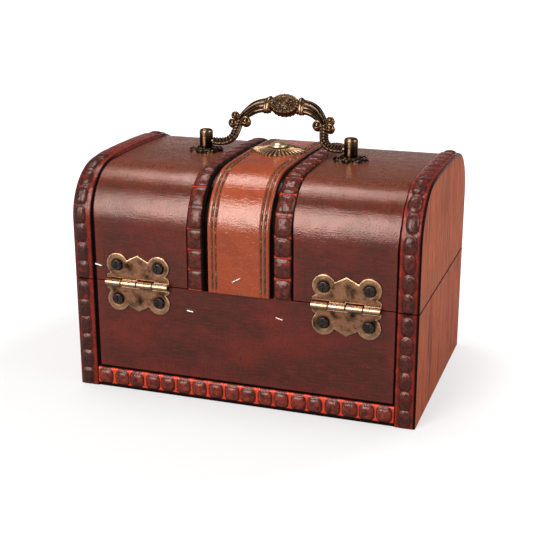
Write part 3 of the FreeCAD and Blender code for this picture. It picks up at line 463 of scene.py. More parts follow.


def board_material(name, strap, foot):
    """Leatherette on board, rolled with a fine grain: plum with redder patches, satin, so that the softboxes
    lie on it as wide pale bands; black lines beside the trims are partly black paint and partly painted
    shadow cast by the trims, and the top of the lid is painted paler as painted sheen."""
    look = bpy.context.scene.chest_case
    material, tree = new_material(name)
    point = spot_on_piece(tree)
    parts = add_node(tree, "SeparateXYZ", {"Vector": point})
    across, height = parts.outputs["X"], parts.outputs["Z"]
    shifted = add_node(tree, "Math", {0: across, 1: look.shadow_shift}, operation="ADD")
    to_end = add_node(tree, "Math", {0: shifted}, operation="ABSOLUTE")
    clear = add_node(tree, "Math", {0: END_TRIM_INNER, 1: to_end}, operation="SUBTRACT")
    edges = []
    if strap:
        to_middle = add_node(tree, "Math", {0: across}, operation="ABSOLUTE")
        edges.append((to_middle, STRAP_TRIM_OUTER - LINE_LAP))
    if foot:
        edges.append((height, FOOT_TOP + FOOT_LINE_RISE))
    for place, edge in edges:
        past_edge = add_node(tree, "Math", {0: place, 1: edge}, operation="SUBTRACT")
        clear = add_node(tree, "Math", {0: clear, 1: past_edge}, operation="MINIMUM")
    narrowing = add_node(tree, "MapRange", {"Value": height, "From Min": CORNER_Z, "From Max": CROWN_TOP,
                                            "To Min": 1.0, "To Max": LINE_NARROWING})
    clear = where_all(tree, add_node(tree, "Math", {0: clear}, operation="ABSOLUTE"), narrowing)
    if strap:
        channel = add_node(tree, "Math", {0: to_middle, 1: (STRAP_HALF + STRAP_TRIM_INNER) / 2},
                           operation="SUBTRACT")
        channel = add_node(tree, "Math", {0: channel}, operation="ABSOLUTE")
        clear = add_node(tree, "Math", {0: clear, 1: channel}, operation="MINIMUM")
    # the lines are partly black paint and partly painted shadow cast by the trims
    width = look.shadow_line
    line = add_node(tree, "MapRange", {"Value": clear, "From Min": width, "From Max": width * LINE_CORE})
    blush = add_node(tree, "MapRange", {"Value": clear, "From Min": BLUSH_REACH * width, "From Max": width})
    # painted sheen: the covering turns paler and browner up the top of the lid
    top_sheen = add_node(tree, "MapRange", {"Value": height, "From Min": TOP_SHEEN_FROM, "From Max": TOP_SHEEN_TO,
                                        "To Max": TOP_SHEEN_SHARE})
    threads, risers = spot_on_piece(tree, (0.12, 1, 1)), spot_on_piece(tree, (1, 0.15, 0.15))
    drawn = spot_on_piece(tree, (0.5, 1, 1))
    colour = coats(tree, look.plum,
                   (mottling(tree, drawn, 16, 0.46, 0.70), look.plum_red),
                   (where_all(tree, mottling(tree, drawn, 11, 0.50, 0.72), 0.55), look.plum_dark),
                   (top_sheen, look.plum_top_sheen),
                   (mottling(tree, threads, 0.8, 0.48, 0.74), look.plum_red),
                   (where_all(tree, blush, mottling(tree, point, 9, 0.3, 0.7)), look.plum_red),
                   (mottling(tree, point, 0.9, 0.56, 0.86, 2.0), look.plum_dark),
                   (mottling(tree, risers, 0.6, 0.54, 0.86, 2.0), look.plum_dark),
                   (line, look.line))
    grain = add_node(tree, "TexVoronoi", {"Vector": point, "Scale": pattern_scale(0.55)})
    surface(tree, colour, patchy_gloss(tree, point, 5, 0.16, 0.26),
            relief(tree, (grain, 0.05), ((threads, 0.7, 2.0), 0.05), ((point, 9, 1.0), 0.22)),
            # the painted shadow in the lines takes the shine away too
            Specular_IOR_Level=0.78, Specular_Tint=coats(tree, look.shine, (line, look.line)))
    return material


def end_board_material():
    """Softwood board under a wiped orange-brown stain: long upright streaks, a few dark pores, dull satin.
    Its narrow rims are painted plum."""
    look = bpy.context.scene.chest_case
    material, tree = new_material("stained softwood end")
    point = spot_on_piece(tree)
    streaks, flecks = spot_on_piece(tree, (1, 1, 0.08)), spot_on_piece(tree, (1, 1, 0.3))
    height = add_node(tree, "SeparateXYZ", {"Vector": point}).outputs["Z"]
    off_split = add_node(tree, "Math", {0: height, 1: BASE_TOP}, operation="SUBTRACT")
    off_split = add_node(tree, "Math", {0: off_split}, operation="ABSOLUTE")
    ragged = add_node(tree, "TexNoise", {"Vector": point, "Scale": pattern_scale(1.2)})
    ragged = add_node(tree, "MapRange", {"Value": ragged, "From Min": 0.3, "From Max": 0.7,
                                         "To Min": SPLIT_LOW, "To Max": SPLIT_HIGH})
    sunk = add_node(tree, "Math", {0: off_split, 1: ragged}, operation="LESS_THAN")
    low = add_node(tree, "MapRange", {"Value": height, "From Min": LOW_STAIN_FROM,
                                      "From Max": LOW_STAIN_TO, "To Max": LOW_STAIN_SHARE})
    facing = add_node(tree, "TexCoord").outputs["Normal"]
    upward = add_node(tree, "SeparateXYZ", {"Vector": facing}).outputs["Z"]
    level = add_node(tree, "Math", {0: upward}, operation="ABSOLUTE")
    rims = add_node(tree, "Math", {0: level, 1: 0.5}, operation="GREATER_THAN")
    colour = coats(tree, look.stain,
                   (low, look.stain_low),
                   (mottling(tree, streaks, 1.6, 0.45, 0.80, 4.0), look.stain_dark),
                   (mottling(tree, streaks, 5.0, 0.50, 0.75), look.stain_dark),
                   (mottling(tree, point, 16, 0.50, 0.75), look.stain_patch),
                   (mottling(tree, flecks, 3, 0.60, 0.80, 4.0), look.stain_dark),
                   (mottling(tree, streaks, 0.5, 0.64, 0.76, 1.0), look.plum_dark),
                   (sunk, look.plum_dark), (rims, look.plum))
    surface(tree, colour, 0.5, relief(tree, ((streaks, 0.6, 3.0), 0.08)), Specular_IOR_Level=0.18)
    return material


def flock_material():
    """Flock sprayed on board: short upright fibres, matt, dark from the front and pale at a grazing look."""
    look = bpy.context.scene.chest_case
    material, tree = new_material("flocked lining")
    point = spot_on_piece(tree)
    colour = coats(tree, look.flock, (mottling(tree, point, 0.8, 0.4, 0.8), look.flock_dark),
                   (mottling(tree, point, 12, 0.5, 0.8), look.flock_pale))
    # real fibres are too fine to show, so they are drawn coarser
    surface(tree, colour, 0.95, relief(tree, ((point, 0.35, 2.0), 0.12)), Sheen_Weight=0.2,
            Sheen_Roughness=0.4)
    return material


def bare_board_material():
    """Unfinished thin board: pale brown with fine grain along the chest, matt."""
    look = bpy.context.scene.chest_case
    material, tree = new_material("bare floor board")
    streaks = spot_on_piece(tree, (0.05, 1, 1))
    colour = coats(tree, look.bare_wood, (mottling(tree, streaks, 1.4, 0.4, 0.85, 4.0), look.bare_wood_dark))
    surface(tree, colour, 0.75, relief(tree, ((streaks, 0.5, 3.0), 0.05)))
    return material


class CHEST_OT_cover_boards(bpy.types.Operator):
    """Covers the boards in plum leatherette, stains the two ends and flocks the inside"""
    bl_idname = "chest.cover_boards"
    bl_label = "Cover the boards"

    def execute(self, context):
        for node, place, strap, foot in (("lid_shell", "lid", True, False),
                                         ("base_back_board", "back", False, True),
                                         ("base_front_board", "front", True, True)):
            dress([node], board_material(f"plum leatherette of the {place}", strap, foot))
        dress(["base_left_end_board", "base_right_end_board", "lid_left_end_board", "lid_right_end_board"],
              end_board_material())
        dress(["base_lining", "lid_lining"], flock_material())
        dress(["base_floor"], bare_board_material())
        return {"FINISHED"}


# ---- Beaded trims


def trim_material():
    """Embossed and antiqued leatherette strip: red ground, brown beads with pale upper rims, partly rubbed
    and partly painted highlight, black in the corners, partly wiped in and partly painted shade on the flank
    turned from the light, lighter red painted on the edge turned to the light as painted light, and a clear
    coat that puts small sharp lights on the beads."""
    look = bpy.context.scene.chest_trims
    material, tree = new_material("antiqued embossed trim")
    point = spot_on_piece(tree)
    painted = painted_values(tree, "bead", "blush", "rim", "crease", "dark", "fire")
    bead, blush = painted["bead"], painted["blush"]
    colour = coats(tree, look.ground,
                   (mottling(tree, point, 3, 0.36, 0.66), look.ground_dark),
                   (painted["fire"], look.fire),
                   (mottling(tree, point, 1.2, 0.55, 0.8), look.bead_dark),
                   (bead, look.bead),
                   (where_all(tree, bead, blush, mottling(tree, point, 2.6, 0.25, 0.65)), look.blush),
                   (where_all(tree, bead, mottling(tree, point, 1.6, 0.48, 0.75)), look.bead_dark),
                   (where_all(tree, bead, mottling(tree, point, 4.2, 0.60, 0.75)), look.ground),
                   (painted["crease"], look.bead_dark),
                   # rims: painted highlight on the beads' upper edges, partly rubbed wear
                   (where_all(tree, painted["rim"], mottling(tree, point, 1.3, 0.25, 0.6)), look.rim),
                   # black: partly antique black in the corners, partly painted shade on the flank turned
                   # from the light
                   (painted["dark"], look.black))
    surface(tree, colour, patchy_gloss(tree, point, 2.2, 0.17, 0.31),
            relief(tree, ((point, 1.1, 3.0), 0.13)), Specular_IOR_Level=0.4,
            # the painted shade also takes the shine away
            Specular_Tint=coats(tree, look.shine, (painted["dark"], look.black)))
    return material


BEAD_HEIGHT = 0.96 * TRIM_PROUD
WRINKLE_SPACING = 1.1 * MM


def ripples(runs, places, size, draw):
    """Soft random swells from -1 to 1 over a strip, about this far apart in metres."""
    rows, columns = runs / size, (places - places.min()) / size
    lattice = draw.uniform(-1, 1, (int(rows.max()) + 3, int(columns.max()) + 3))
    row, column = rows.astype(int), columns.astype(int)
    down, over = (soft_step(v - k, 0, 1) for v, k in ((rows, row), (columns, column)))
    corners = [[lattice[row[:, None] + i, column[None, :] + j] for j in (0, 1)] for i in (0, 1)]
    upper = corners[0][0] * (1 - over) + corners[0][1] * over
    lower = corners[1][0] * (1 - over) + corners[1][1] * over
    return upper * (1 - down[:, None]) + lower * down[:, None]


NEVER = 2              # past the strip's edge, which is at 1
DOME_POWER = 2.8       # of the beads' tops; 2 would make them half round
BARE_HEIGHT = 0.8      # of a strip without beads, as a share of the beads' height
FLANK_HEIGHT = 0.3     # of a strip's edges, as a share of its middle's
TOP_FROM, TOP_TO = 30 * MM, 22 * MM      # from the middle of the lid to where the beads fade


@dataclass
class Beading:
    """Pattern of one trim: its beads' spacing, shape and paint."""
    pitch: float               # along the strip
    length: float              # of a bead, as a share of the pitch
    width: float               # of a bead, as a share of the strip
    power: float               # 2 for an oval, more for a rounded block
    ground: float              # height of the ground as a share of the beads' height
    roll: float                # higher for squarer shoulders
    crinkle: float             # height of the covering's wrinkles
    wander: float              # by which beads differ in place and size
    dark: tuple                # where black starts, towards the low and the high edge: partly antique black, partly painted shade on the flank turned from the light
    rim: float                 # how pale the beads' upper rims are painted: partly rubbed wear, partly painted highlight
    blush: float               # how far the brown of the beads is rubbed thin
    shift: float = 0.0         # of the beads towards the high edge
    fire: tuple = (NEVER, NEVER)     # where the red painted on the edge turned to the light starts, towards the low and the high edge: painted light
    fire_grooves: float = 0.0        # how red the grooves between the beads are
    bare_top: float = 0.0            # how far the beads fade over the top of the lid

    def over(self, runs, places, up, bare, draw):
        """Heights over the strip, and its paint; up is +1 where runs go upwards, bare 1 where beads end."""
        half = (places[-1] - places[0]) / 2
        t = (places - places[0] - half) / half
        bead = np.floor(runs / self.pitch).astype(int)
        spread = draw.uniform(-1, 1, (bead.max() + 1, 4)) * self.wander
        middle = (bead + 0.5) * self.pitch + spread[bead, 0] * self.pitch
        along = (runs - middle) / (self.pitch / 2 * self.length * (1 + spread[bead, 1]))
        wide = self.width * (1 + spread[bead, 2])
        aside = (t[None, :] - self.shift - spread[bead, 3][:, None]) / wide[:, None]
        off = (np.abs(along)[:, None] ** self.power + np.abs(aside) ** self.power) ** (1 / self.power)
        shown = 1 - bare[:, None] * np.ones_like(off)
        dome = np.sqrt(np.clip(1 - off ** DOME_POWER, 0, 1)) * shown + BARE_HEIGHT * (1 - shown)
        body = FLANK_HEIGHT + (1 - FLANK_HEIGHT) * np.sqrt(np.clip(1 - np.abs(t) ** self.roll, 0, 1))
        heights = BEAD_HEIGHT * body * (self.ground + (1 - self.ground) * dome)
        fade = np.clip(1 - np.abs(t) ** 6, 0, 1)
        heights = heights + self.crinkle * fade * ripples(runs, places, WRINKLE_SPACING, draw)
        face = soft_step(off, 1.03, 0.95) * shown
        crease = soft_step(off, 0.96, 1.04) * soft_step(off, 1.24, 1.12) * shown
        joint = soft_step(np.abs(along), 0.55, 1.0)[:, None]
        upper_end = soft_step(up * along, 0.5, 0.95)[:, None]
        # painted highlight on each bead's upper rim, partly rubbed wear
        rim_wear_and_glint = np.exp(-((off - 0.95) / 0.06) ** 2) * upper_end * self.rim * shown
        # black on the flank turned from the light is painted shade as well as antique black
        edge_dark_and_shade, lit_edge = (
            np.maximum(soft_step(-t, low - before, low + after), soft_step(t, high - before, high + after))
            for (low, high), before, after in ((self.dark, 0.05, 0.05), (self.fire, 0, 0.2)))
        grooves = soft_step(off, 1.10, 1.20) * joint * self.fire_grooves
        # red of the grooves, and lighter red on the edge turned to the light as painted light
        fire = np.maximum(lit_edge * (0.2 + 0.8 * joint) * (1 - face), grooves * shown)
        paint = {"bead": face, "blush": self.blush * np.ones_like(off), "rim": rim_wear_and_glint, "crease": 0.85 * crease,
                 "fire": fire, "dark": edge_dark_and_shade * (0.25 + 0.75 * shown)}
        return np.minimum(heights, TRIM_PROUD), paint


def lay_trim(name, material, body, beading, path, length, across, low, high, seed):
    """One beaded strip in place of its solid; low and high are its edges across the path."""
    look = bpy.context.scene.chest_trims
    draw = np.random.default_rng(seed)
    runs = np.linspace(0, length, int(length / look.step) + 1)
    places = np.linspace(low, high, int((high - low) / look.step) + 1)
    points, normals = path(runs)
    up, bare = np.ones_like(runs), np.zeros_like(runs)
    if path is arch_path:
        up = np.where(runs > length / 2, -1.0, 1.0)
        bare = beading.bare_top * soft_step(np.abs(runs - length / 2), TOP_FROM, TOP_TO)
    heights, paint = beading.over(runs, places, up, bare, draw)
    shape = Shape()
    shape.skin(strip_rings(points, normals, across, places, heights),
               **{label: strip_paint(values) for label, values in paint.items()})
    make_piece(shape, name + "_beading", material, body, [name], BEADED_ANGLE)


class CHEST_OT_lay_trims(bpy.types.Operator):
    """Lays the beaded trims over the lid, up the corners, along the foot and beside the strap"""
    bl_idname = "chest.lay_trims"
    bl_label = "Lay the trims"

    def execute(self, context):
        look = context.scene.chest_trims
        material = trim_material()
        right_end = Beading(look.end_pitch, length=0.93, width=0.58, power=3.6, ground=0.48, roll=7,
                            crinkle=0.05 * MM, wander=0.05, dark=(0.86, 0.90), rim=0.35, blush=0.1,
                            shift=0.16, bare_top=0.9)
        left_end = Beading(look.end_pitch, length=0.96, width=0.56, power=2.3, ground=0.46, roll=5,
                           crinkle=0.06 * MM, wander=0.05, dark=(0.78, 0.90), rim=0.6, blush=0.3, shift=0.05,
                           fire=(NEVER, 0.75), bare_top=0.5)
        smooth_rings = Beading(look.strap_pitch, length=0.84, width=0.90, power=7, ground=0.72, roll=2.1,
                               crinkle=0.03 * MM, wander=0.02, dark=(0.64, 0.93), rim=0.15, blush=0.5,
                               shift=-0.06, fire=(NEVER, 0.80), fire_grooves=0.9)
        crinkled = Beading(look.strap_pitch, length=0.83, width=0.90, power=4.5, ground=0.52, roll=4,
                           crinkle=0.13 * MM, wander=0.04, dark=(0.90, 0.90), rim=0.25, blush=0.5,
                           fire_grooves=1.0)
        foot = Beading(look.foot_pitch, length=0.78, width=0.66, power=3.4, ground=0.46, roll=5,
                       crinkle=0.04 * MM, wander=0.03, dark=(0.60, NEVER), rim=0.3, blush=1.0, shift=0.12,
                       fire=(NEVER, 0.86), fire_grooves=1.0)
        for side, beading, low, high, lid_seed, base_seeds in (
                ("right", right_end, END_TRIM_INNER, HALF_WIDTH, 11, (26, 24)),
                ("left", left_end, -HALF_WIDTH, -END_TRIM_INNER, 12, (21, 19))):
            lay_trim(f"lid_{side}_end_trim", material, "lid", beading, arch_path, ARCH_RUN, X_AXIS, low,
                     high, lid_seed)
            for (face, hand), seed in zip(FACES, base_seeds):
                lay_trim(f"base_{face}_{side}_trim", material, "base", beading,
                         partial(wall_path, hand=hand, bottom=0), BASE_TOP, X_AXIS, low, high, seed)
        strap_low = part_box("base_strap_right_trim")[0].z
        for side, beading, low, high, lid_seed, base_seed in (
                ("right", smooth_rings, STRAP_TRIM_INNER, STRAP_TRIM_OUTER, 31, 33),
                ("left", crinkled, -STRAP_TRIM_OUTER, -STRAP_TRIM_INNER, 32, 34)):
            lay_trim(f"lid_strap_{side}_trim", material, "lid", beading, arch_path, ARCH_RUN, X_AXIS, low,
                     high, lid_seed)
            lay_trim(f"base_strap_{side}_trim", material, "base", beading,
                     partial(wall_path, hand=-1, bottom=strap_low), BASE_TOP - strap_low, X_AXIS, low, high,
                     base_seed)
        foot_low, foot_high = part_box("base_back_foot_trim")
        for (face, hand), seed in zip(FACES, (41, 39)):
            lay_trim(f"base_{face}_foot_trim", material, "base", foot,
                     partial(foot_path, hand=hand, start=foot_low.x), foot_high.x - foot_low.x, Z_AXIS, 0,
                     foot_high.z, seed)
        return {"FINISHED"}


# ---- Strap


def leather_material():
    """Vegetable-tanned leather, dyed tan: fine pores and creases, a soft waxed shine, inked cut edges."""
    look = bpy.context.scene.chest_strap
    material, tree = new_material("waxed tan leather")
    point = spot_on_piece(tree)
    painted = painted_values(tree, "edge", "seam", "hole")
    creases = add_node(tree, "TexVoronoi", {"Vector": point, "Scale": pattern_scale(1.5)},
                       feature="DISTANCE_TO_EDGE")
    crease = add_node(tree, "MapRange", {"Value": creases, "From Max": 0.16})
    colour = coats(tree, look.leather,
                   (mottling(tree, point, 11, 0.5, 0.8), look.leather_dark),
                   (mottling(tree, point, 1.2, 0.5, 0.9), look.leather_pale),
                   (where_all(tree, painted["seam"], mottling(tree, point, 2, 0.2, 0.7)), look.leather_dark),
                   # the stitch holes are painted dark as painted shade
                   (painted["hole"], look.edge), (painted["edge"], look.edge))
    drawn = spot_on_piece(tree, (0.3, 1, 1))
    # real pores are too fine to show, so they are drawn coarser, at 0.35 mm
    surface(tree, colour, patchy_gloss(tree, point, 4, 0.16, 0.25),
            relief(tree, (crease, 0.025), ((point, 0.35, 2.0), 0.03), ((drawn, 0.9, 2.0), 0.09)),
            Specular_IOR_Level=0.78, Specular_Tint=look.shine)
    return material


def thread_material():
    """Waxed linen thread: dull olive brown, darker where it goes down into its holes."""
    look = bpy.context.scene.chest_strap
    material, tree = new_material("waxed linen thread")
    point = spot_on_piece(tree)
    colour = coats(tree, look.thread, (mottling(tree, point, 1.6, 0.4, 0.7), look.thread_dark),
                   (mottling(tree, point, 3.0, 0.55, 0.7), look.thread_pale))
    surface(tree, colour, 0.6, relief(tree, ((point, 0.3, 1.0), 0.05)))
    return material


SEAMS = (STRAP_HALF - 2.4 * MM, STRAP_HALF - 4.1 * MM, -STRAP_HALF + 2.0 * MM, -STRAP_HALF + 3.9 * MM)
SEAM_DEPTH, SEAM_HALF_WIDTH = 0.3 * MM, 0.45 * MM
HOLE_REACH = 0.6 * MM
FIRST_STITCH, LAST_STITCH = 2.0 * MM, 1.0 * MM      # from the strap's two ends
EDGE_ROUNDING = 1.0 * MM
EDGE_SHARE = 0.42                                   # of the thickness, at the cut edge
LEATHER_WAVES, LEATHER_WAVE_SPACING = 0.03 * MM, 4 * MM
LEATHER_STEP, LEATHER_COLUMNS = 0.5 * MM, 73        # points along and across the strap
STITCH_LEAN = 0.2 * MM                              # at most, of a stitch's ends to the side
THREAD_SINK = 0.26 * MM                             # of a stitch's middle under the face
THREAD_DIP = 0.5 * MM                               # of its ends under its middle


def sew(name, body, path, starts, thread, draw):
    """The stitches of all seams of a strap, each a thread that dips into its holes."""
    look = bpy.context.scene.chest_strap
    stitches = Shape()
    half = look.stitch / 2
    turns, reach = full_turn(8), np.linspace(-1, 1, 9)
    for x in SEAMS:
        for start in starts:
            lean = draw.uniform(-STITCH_LEAN, STITCH_LEAN)
            spots, out = path(start + half + reach * half * draw.uniform(0.85, 1.05))
            lift = STRAP_THICKNESS - THREAD_SINK - THREAD_DIP * np.abs(reach) ** 6
            centres = spots + lift[:, None] * out + (x + lean * reach)[:, None] * np.array(X_AXIS)
            swell = look.thread_width / 2 * draw.uniform(0.85, 1.1) * (1 - 0.35 * np.abs(reach) ** 4)
            stitches.skin([centre + size * (np.outer(np.cos(turns), X_AXIS) + np.outer(np.sin(turns), up))
                           for centre, size, up in zip(centres, swell, out)])
    make_piece(stitches, name + "_stitches", thread, body)


def lay_leather(name, body, path, length, leather, thread, seed):
    """A strap with its grooved seams, and the stitches that lie in them."""
    look = bpy.context.scene.chest_strap
    draw = np.random.default_rng(seed)
    runs = np.linspace(0, length, int(length / LEATHER_STEP) + 1)
    places = np.linspace(-STRAP_HALF, STRAP_HALF, LEATHER_COLUMNS)
    starts = np.arange(FIRST_STITCH, length - look.stitch - LAST_STITCH, look.stitch + look.gap)
    to_hole = np.abs(runs[:, None] - starts - look.stitch / 2) - look.stitch / 2
    near_hole = np.exp(-(to_hole / HOLE_REACH) ** 2).max(1)
    to_edge = np.minimum((STRAP_HALF - np.abs(places)) / EDGE_ROUNDING, 1)
    profile = EDGE_SHARE + (1 - EDGE_SHARE) * np.sqrt(np.clip(1 - (1 - to_edge) ** 2, 0, 1))
    seam = sum(np.exp(-((places - x) / SEAM_HALF_WIDTH) ** 2) for x in SEAMS)
    heights = np.broadcast_to(STRAP_THICKNESS * 0.97 * profile - SEAM_DEPTH * seam, (len(runs), len(places)))
    heights = heights + LEATHER_WAVES * ripples(runs, places, LEATHER_WAVE_SPACING, draw) * (to_edge >= 1)
    points, normals = path(runs)
    shape = Shape()
    shape.skin(strip_rings(points, normals, X_AXIS, places, heights),
               edge=strip_paint(np.broadcast_to(soft_step(to_edge, 0.5, 0.1), heights.shape)),
               seam=strip_paint(np.broadcast_to(seam, heights.shape)),
               hole=strip_paint(np.minimum(near_hole[:, None] * seam, 1.0)))
    make_piece(shape, name + "_leather", leather, body, [name], PRESSED_ANGLE)
    sew(name, body, path, starts, thread, draw)


class CHEST_OT_lay_strap(bpy.types.Operator):
    """Lays the stitched leather strap over the lid and down the front"""
    bl_idname = "chest.lay_strap"
    bl_label = "Lay the strap"

    def execute(self, context):
        leather, thread = leather_material(), thread_material()
        lay_leather("lid_strap", "lid", arch_path, ARCH_RUN, leather, thread, 51)
        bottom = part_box("base_front_strap")[0].z
        lay_leather("base_front_strap", "base", partial(wall_path, hand=-1, bottom=bottom),
                    BASE_TOP - bottom, leather, thread, 52)
        return {"FINISHED"}


# ---- Metals


def metal_material(name, ground, patina, rubbed, roughness, patch=2.4, patina_from=0.5, pitting=0.05):
    """Metal under an old finish: patina in patches and hollows, rubbed bright where the paint 'rub' says."""
    material, tree = new_material(name)
    point = spot_on_piece(tree)
    painted = painted_values(tree, "rub", "hollow")
    colour = coats(tree, ground,
                   (mottling(tree, point, patch, patina_from, patina_from + 0.26, 4.0), patina),
                   (mottling(tree, point, 0.9, 0.56, 0.80, 2.0), patina),
                   (where_all(tree, painted["rub"], mottling(tree, point, 1.4, 0.15, 0.5)), rubbed),
                   (painted["hollow"], patina))
    gloss = patchy_gloss(tree, point, 1.5, roughness, roughness + 0.16, 0.35)
    surface(tree, colour, gloss, relief(tree, ((point, 0.6, 3.0), pitting)), Metallic=1.0)
    return material


def inset(outline, distance):
    """Closed outline drawn in by this much, its points numbered against the clock."""
    before = outline - np.roll(outline, 1, 0)
    after = np.roll(outline, -1, 0) - outline
    sides = [np.stack([-edge[:, 1], edge[:, 0]], 1) / np.linalg.norm(edge, axis=1)[:, None]
             for edge in (before, after)]
    middle = sides[0] + sides[1]
    share = np.maximum(1 + (sides[0] * sides[1]).sum(1), 0.5)
    return outline + distance * middle / share[:, None]


def inside(points, outline):
    """Which of these flat points lie inside a closed outline: those with an odd count of its sides ahead."""
    ahead = np.roll(outline, -1, 0)
    crosses = (outline[:, 1] > points[:, None, 1]) != (ahead[:, 1] > points[:, None, 1])
    rise = np.where(ahead[:, 1] == outline[:, 1], 1e-12, ahead[:, 1] - outline[:, 1])
    reach = outline[:, 0] + (points[:, None, 1] - outline[:, 1]) * (ahead[:, 0] - outline[:, 0]) / rise
    return (crosses & (points[:, None, 0] < reach)).sum(1) % 2 == 1


def add_plate(shape, outline, place, thickness, edge, spacing, form):
    """Plate with rounded upper edges: place puts points of the flat outline at heights into the chest's
    frame, and form gives each point of the face its height over the face, its rub and its hollow."""
    levels = [(0.0, 0.0), (0.0, thickness - edge), (0.3 * edge, thickness - 0.3 * edge), (edge, thickness)]
    count = len(outline)
    rings = [place(inset(outline, draw_in), np.full(count, height)) for draw_in, height in levels]
    shape.skin(rings, rub=by_ring(0.0, 0.4, 1.0, 0.8), hollow=0.0)
    shape.faces.pop()      # form shapes the face over the last ring instead
    rim = inset(outline, edge)
    across, along = np.meshgrid(*(np.arange(low + spacing / 2, high, spacing)
                                  for low, high in zip(rim.min(0), rim.max(0))))
    inner = np.stack([across.ravel(), along.ravel()], 1)
    inner = inner[inside(inner, rim)]
    inner = inner[np.linalg.norm(inner[:, None] - rim[None], axis=2).min(1) > 0.4 * spacing]
    flat = [Vector(point) for point in np.concatenate([rim, inner])]
    _, _, faces, origins, _, _ = delaunay_2d_cdt(flat, [], [list(range(count))], 1, 1e-8)
    height, rub, hollow = form(inner)
    last_ring = len(shape.points) - count
    shape.add(place(inner, thickness + height), [], rub=rub, hollow=hollow)
    shape.faces.extend(tuple(last_ring + origins[corner][0] for corner in face) for face in faces)


# ---- Hinges

LEAF_THICKNESS = 0.9 * MM
LEAF_HALF_WIDTH = 15.3 * MM
EAR_HEIGHT = 3.3 * MM
LEAF_FOOT = 0.3 * MM          # from the hinge axis to the leaf's straight edge
LOBE_RADIUS = 5.3 * MM
LOBE_HEIGHT = 8.4 * MM
LOBE_X = LEAF_HALF_WIDTH - LOBE_RADIUS
LOBE_FROM, LOBE_TO = math.radians(-49), math.radians(156)
TIP_HEIGHT = 13.4 * MM
SCREW_X = 10.1 * MM
SCREW_HEIGHT = 8.1 * MM
BARREL_RADIUS = 1.5 * MM
BARREL_RIM = 0.22 * MM        # chamfer of a knuckle's ends
PIN_HOLE = 0.82 * MM
KNUCKLE_GAP = 0.3 * MM
KNUCKLES = 4
NOTCH_DEPTH = BARREL_RADIUS + 0.4 * MM
LEAF_EDGE, LEAF_GRID = 0.3 * MM, 0.55 * MM      # rounding of a leaf's edge, and spacing of its face's points
DISH_DEPTH = 0.25 * MM        # of the sinks under the screws
SCARS, SCAR_LENGTH, SCAR_WIDTH = 5, 1.0 * MM, 0.35 * MM
CURL = ((0.0, -1.55), (0.9, -1.6), (1.0, -0.6), (0.3, 0.0))      # section from leaf to knuckle: out, down
HINGE_AXIS = Vector(JOINTS["lid_hinge"]["pos_m"])


def butterfly(notches):
    """Outline of a lobed leaf over its straight edge, against the clock; notches cut that edge."""
    turns = np.linspace(LOBE_FROM, LOBE_TO, 22)
    lobe = np.stack([LOBE_X + LOBE_RADIUS * np.cos(turns), LOBE_HEIGHT + LOBE_RADIUS * np.sin(turns)], 1)
    right = [(LEAF_HALF_WIDTH, EAR_HEIGHT)] + lobe.tolist()
    left = [(-x, height) for x, height in right[::-1]]
    foot = [(-LEAF_HALF_WIDTH, LEAF_FOOT)]
    for start, end, depth in notches:
        foot += [(start, LEAF_FOOT), (start, depth), (end, depth), (end, LEAF_FOOT)]
    foot.append((LEAF_HALF_WIDTH, LEAF_FOOT))
    if notches[0][0] < -LEAF_HALF_WIDTH:
        foot = [(-LEAF_HALF_WIDTH, notches[0][2])] + foot[3:]
    if notches[-1][1] > LEAF_HALF_WIDTH:
        foot = foot[:-3] + [(LEAF_HALF_WIDTH, notches[-1][2])]
    return np.array(right + [(0, TIP_HEIGHT)] + left + foot)


def knuckle_spans():
    """Where the knuckles start and end along the pin."""
    width = (2 * LEAF_HALF_WIDTH - (KNUCKLES - 1) * KNUCKLE_GAP) / KNUCKLES
    starts = [-LEAF_HALF_WIDTH + i * (width + KNUCKLE_GAP) for i in range(KNUCKLES)]
    return [(start, start + width) for start in starts]


def add_knuckle(shape, centre_x, hand, start, end):
    """Rolled knuckle round the pin, and the curl that joins it to its leaf."""
    half = (end - start) / 2
    rim_wear_and_glint = [(PIN_HOLE, half), (BARREL_RADIUS - BARREL_RIM, half), (BARREL_RADIUS, half - BARREL_RIM)]
    profile = [(radius, -height) for radius, height in rim_wear_and_glint]
    profile += [(BARREL_RADIUS, half * share) for share in (-0.5, 0, 0.5)] + rim_wear_and_glint[::-1]
    centre = (centre_x + (start + end) / 2, HINGE_AXIS.y, HINGE_AXIS.z)
    # the dark rings at the knuckles' ends are painted shade in the gaps between them
    shape.skin(turned(profile, 28, centre, X_AXIS, Y_AXIS), rub=0.3,
               hollow=by_ring(0.9, 0.9, 0.3, 0, 0, 0, 0.3, 0.9, 0.9))
    section = [(HALF_DEPTH + (0.1 + out) * MM, HINGE_AXIS.z - hand * down * MM) for out, down in CURL]
    ends = start + 0.1 * MM, end - 0.1 * MM
    shape.skin([[(centre_x + x, y, z) for y, z in section] for x in ends], rub=0.5)


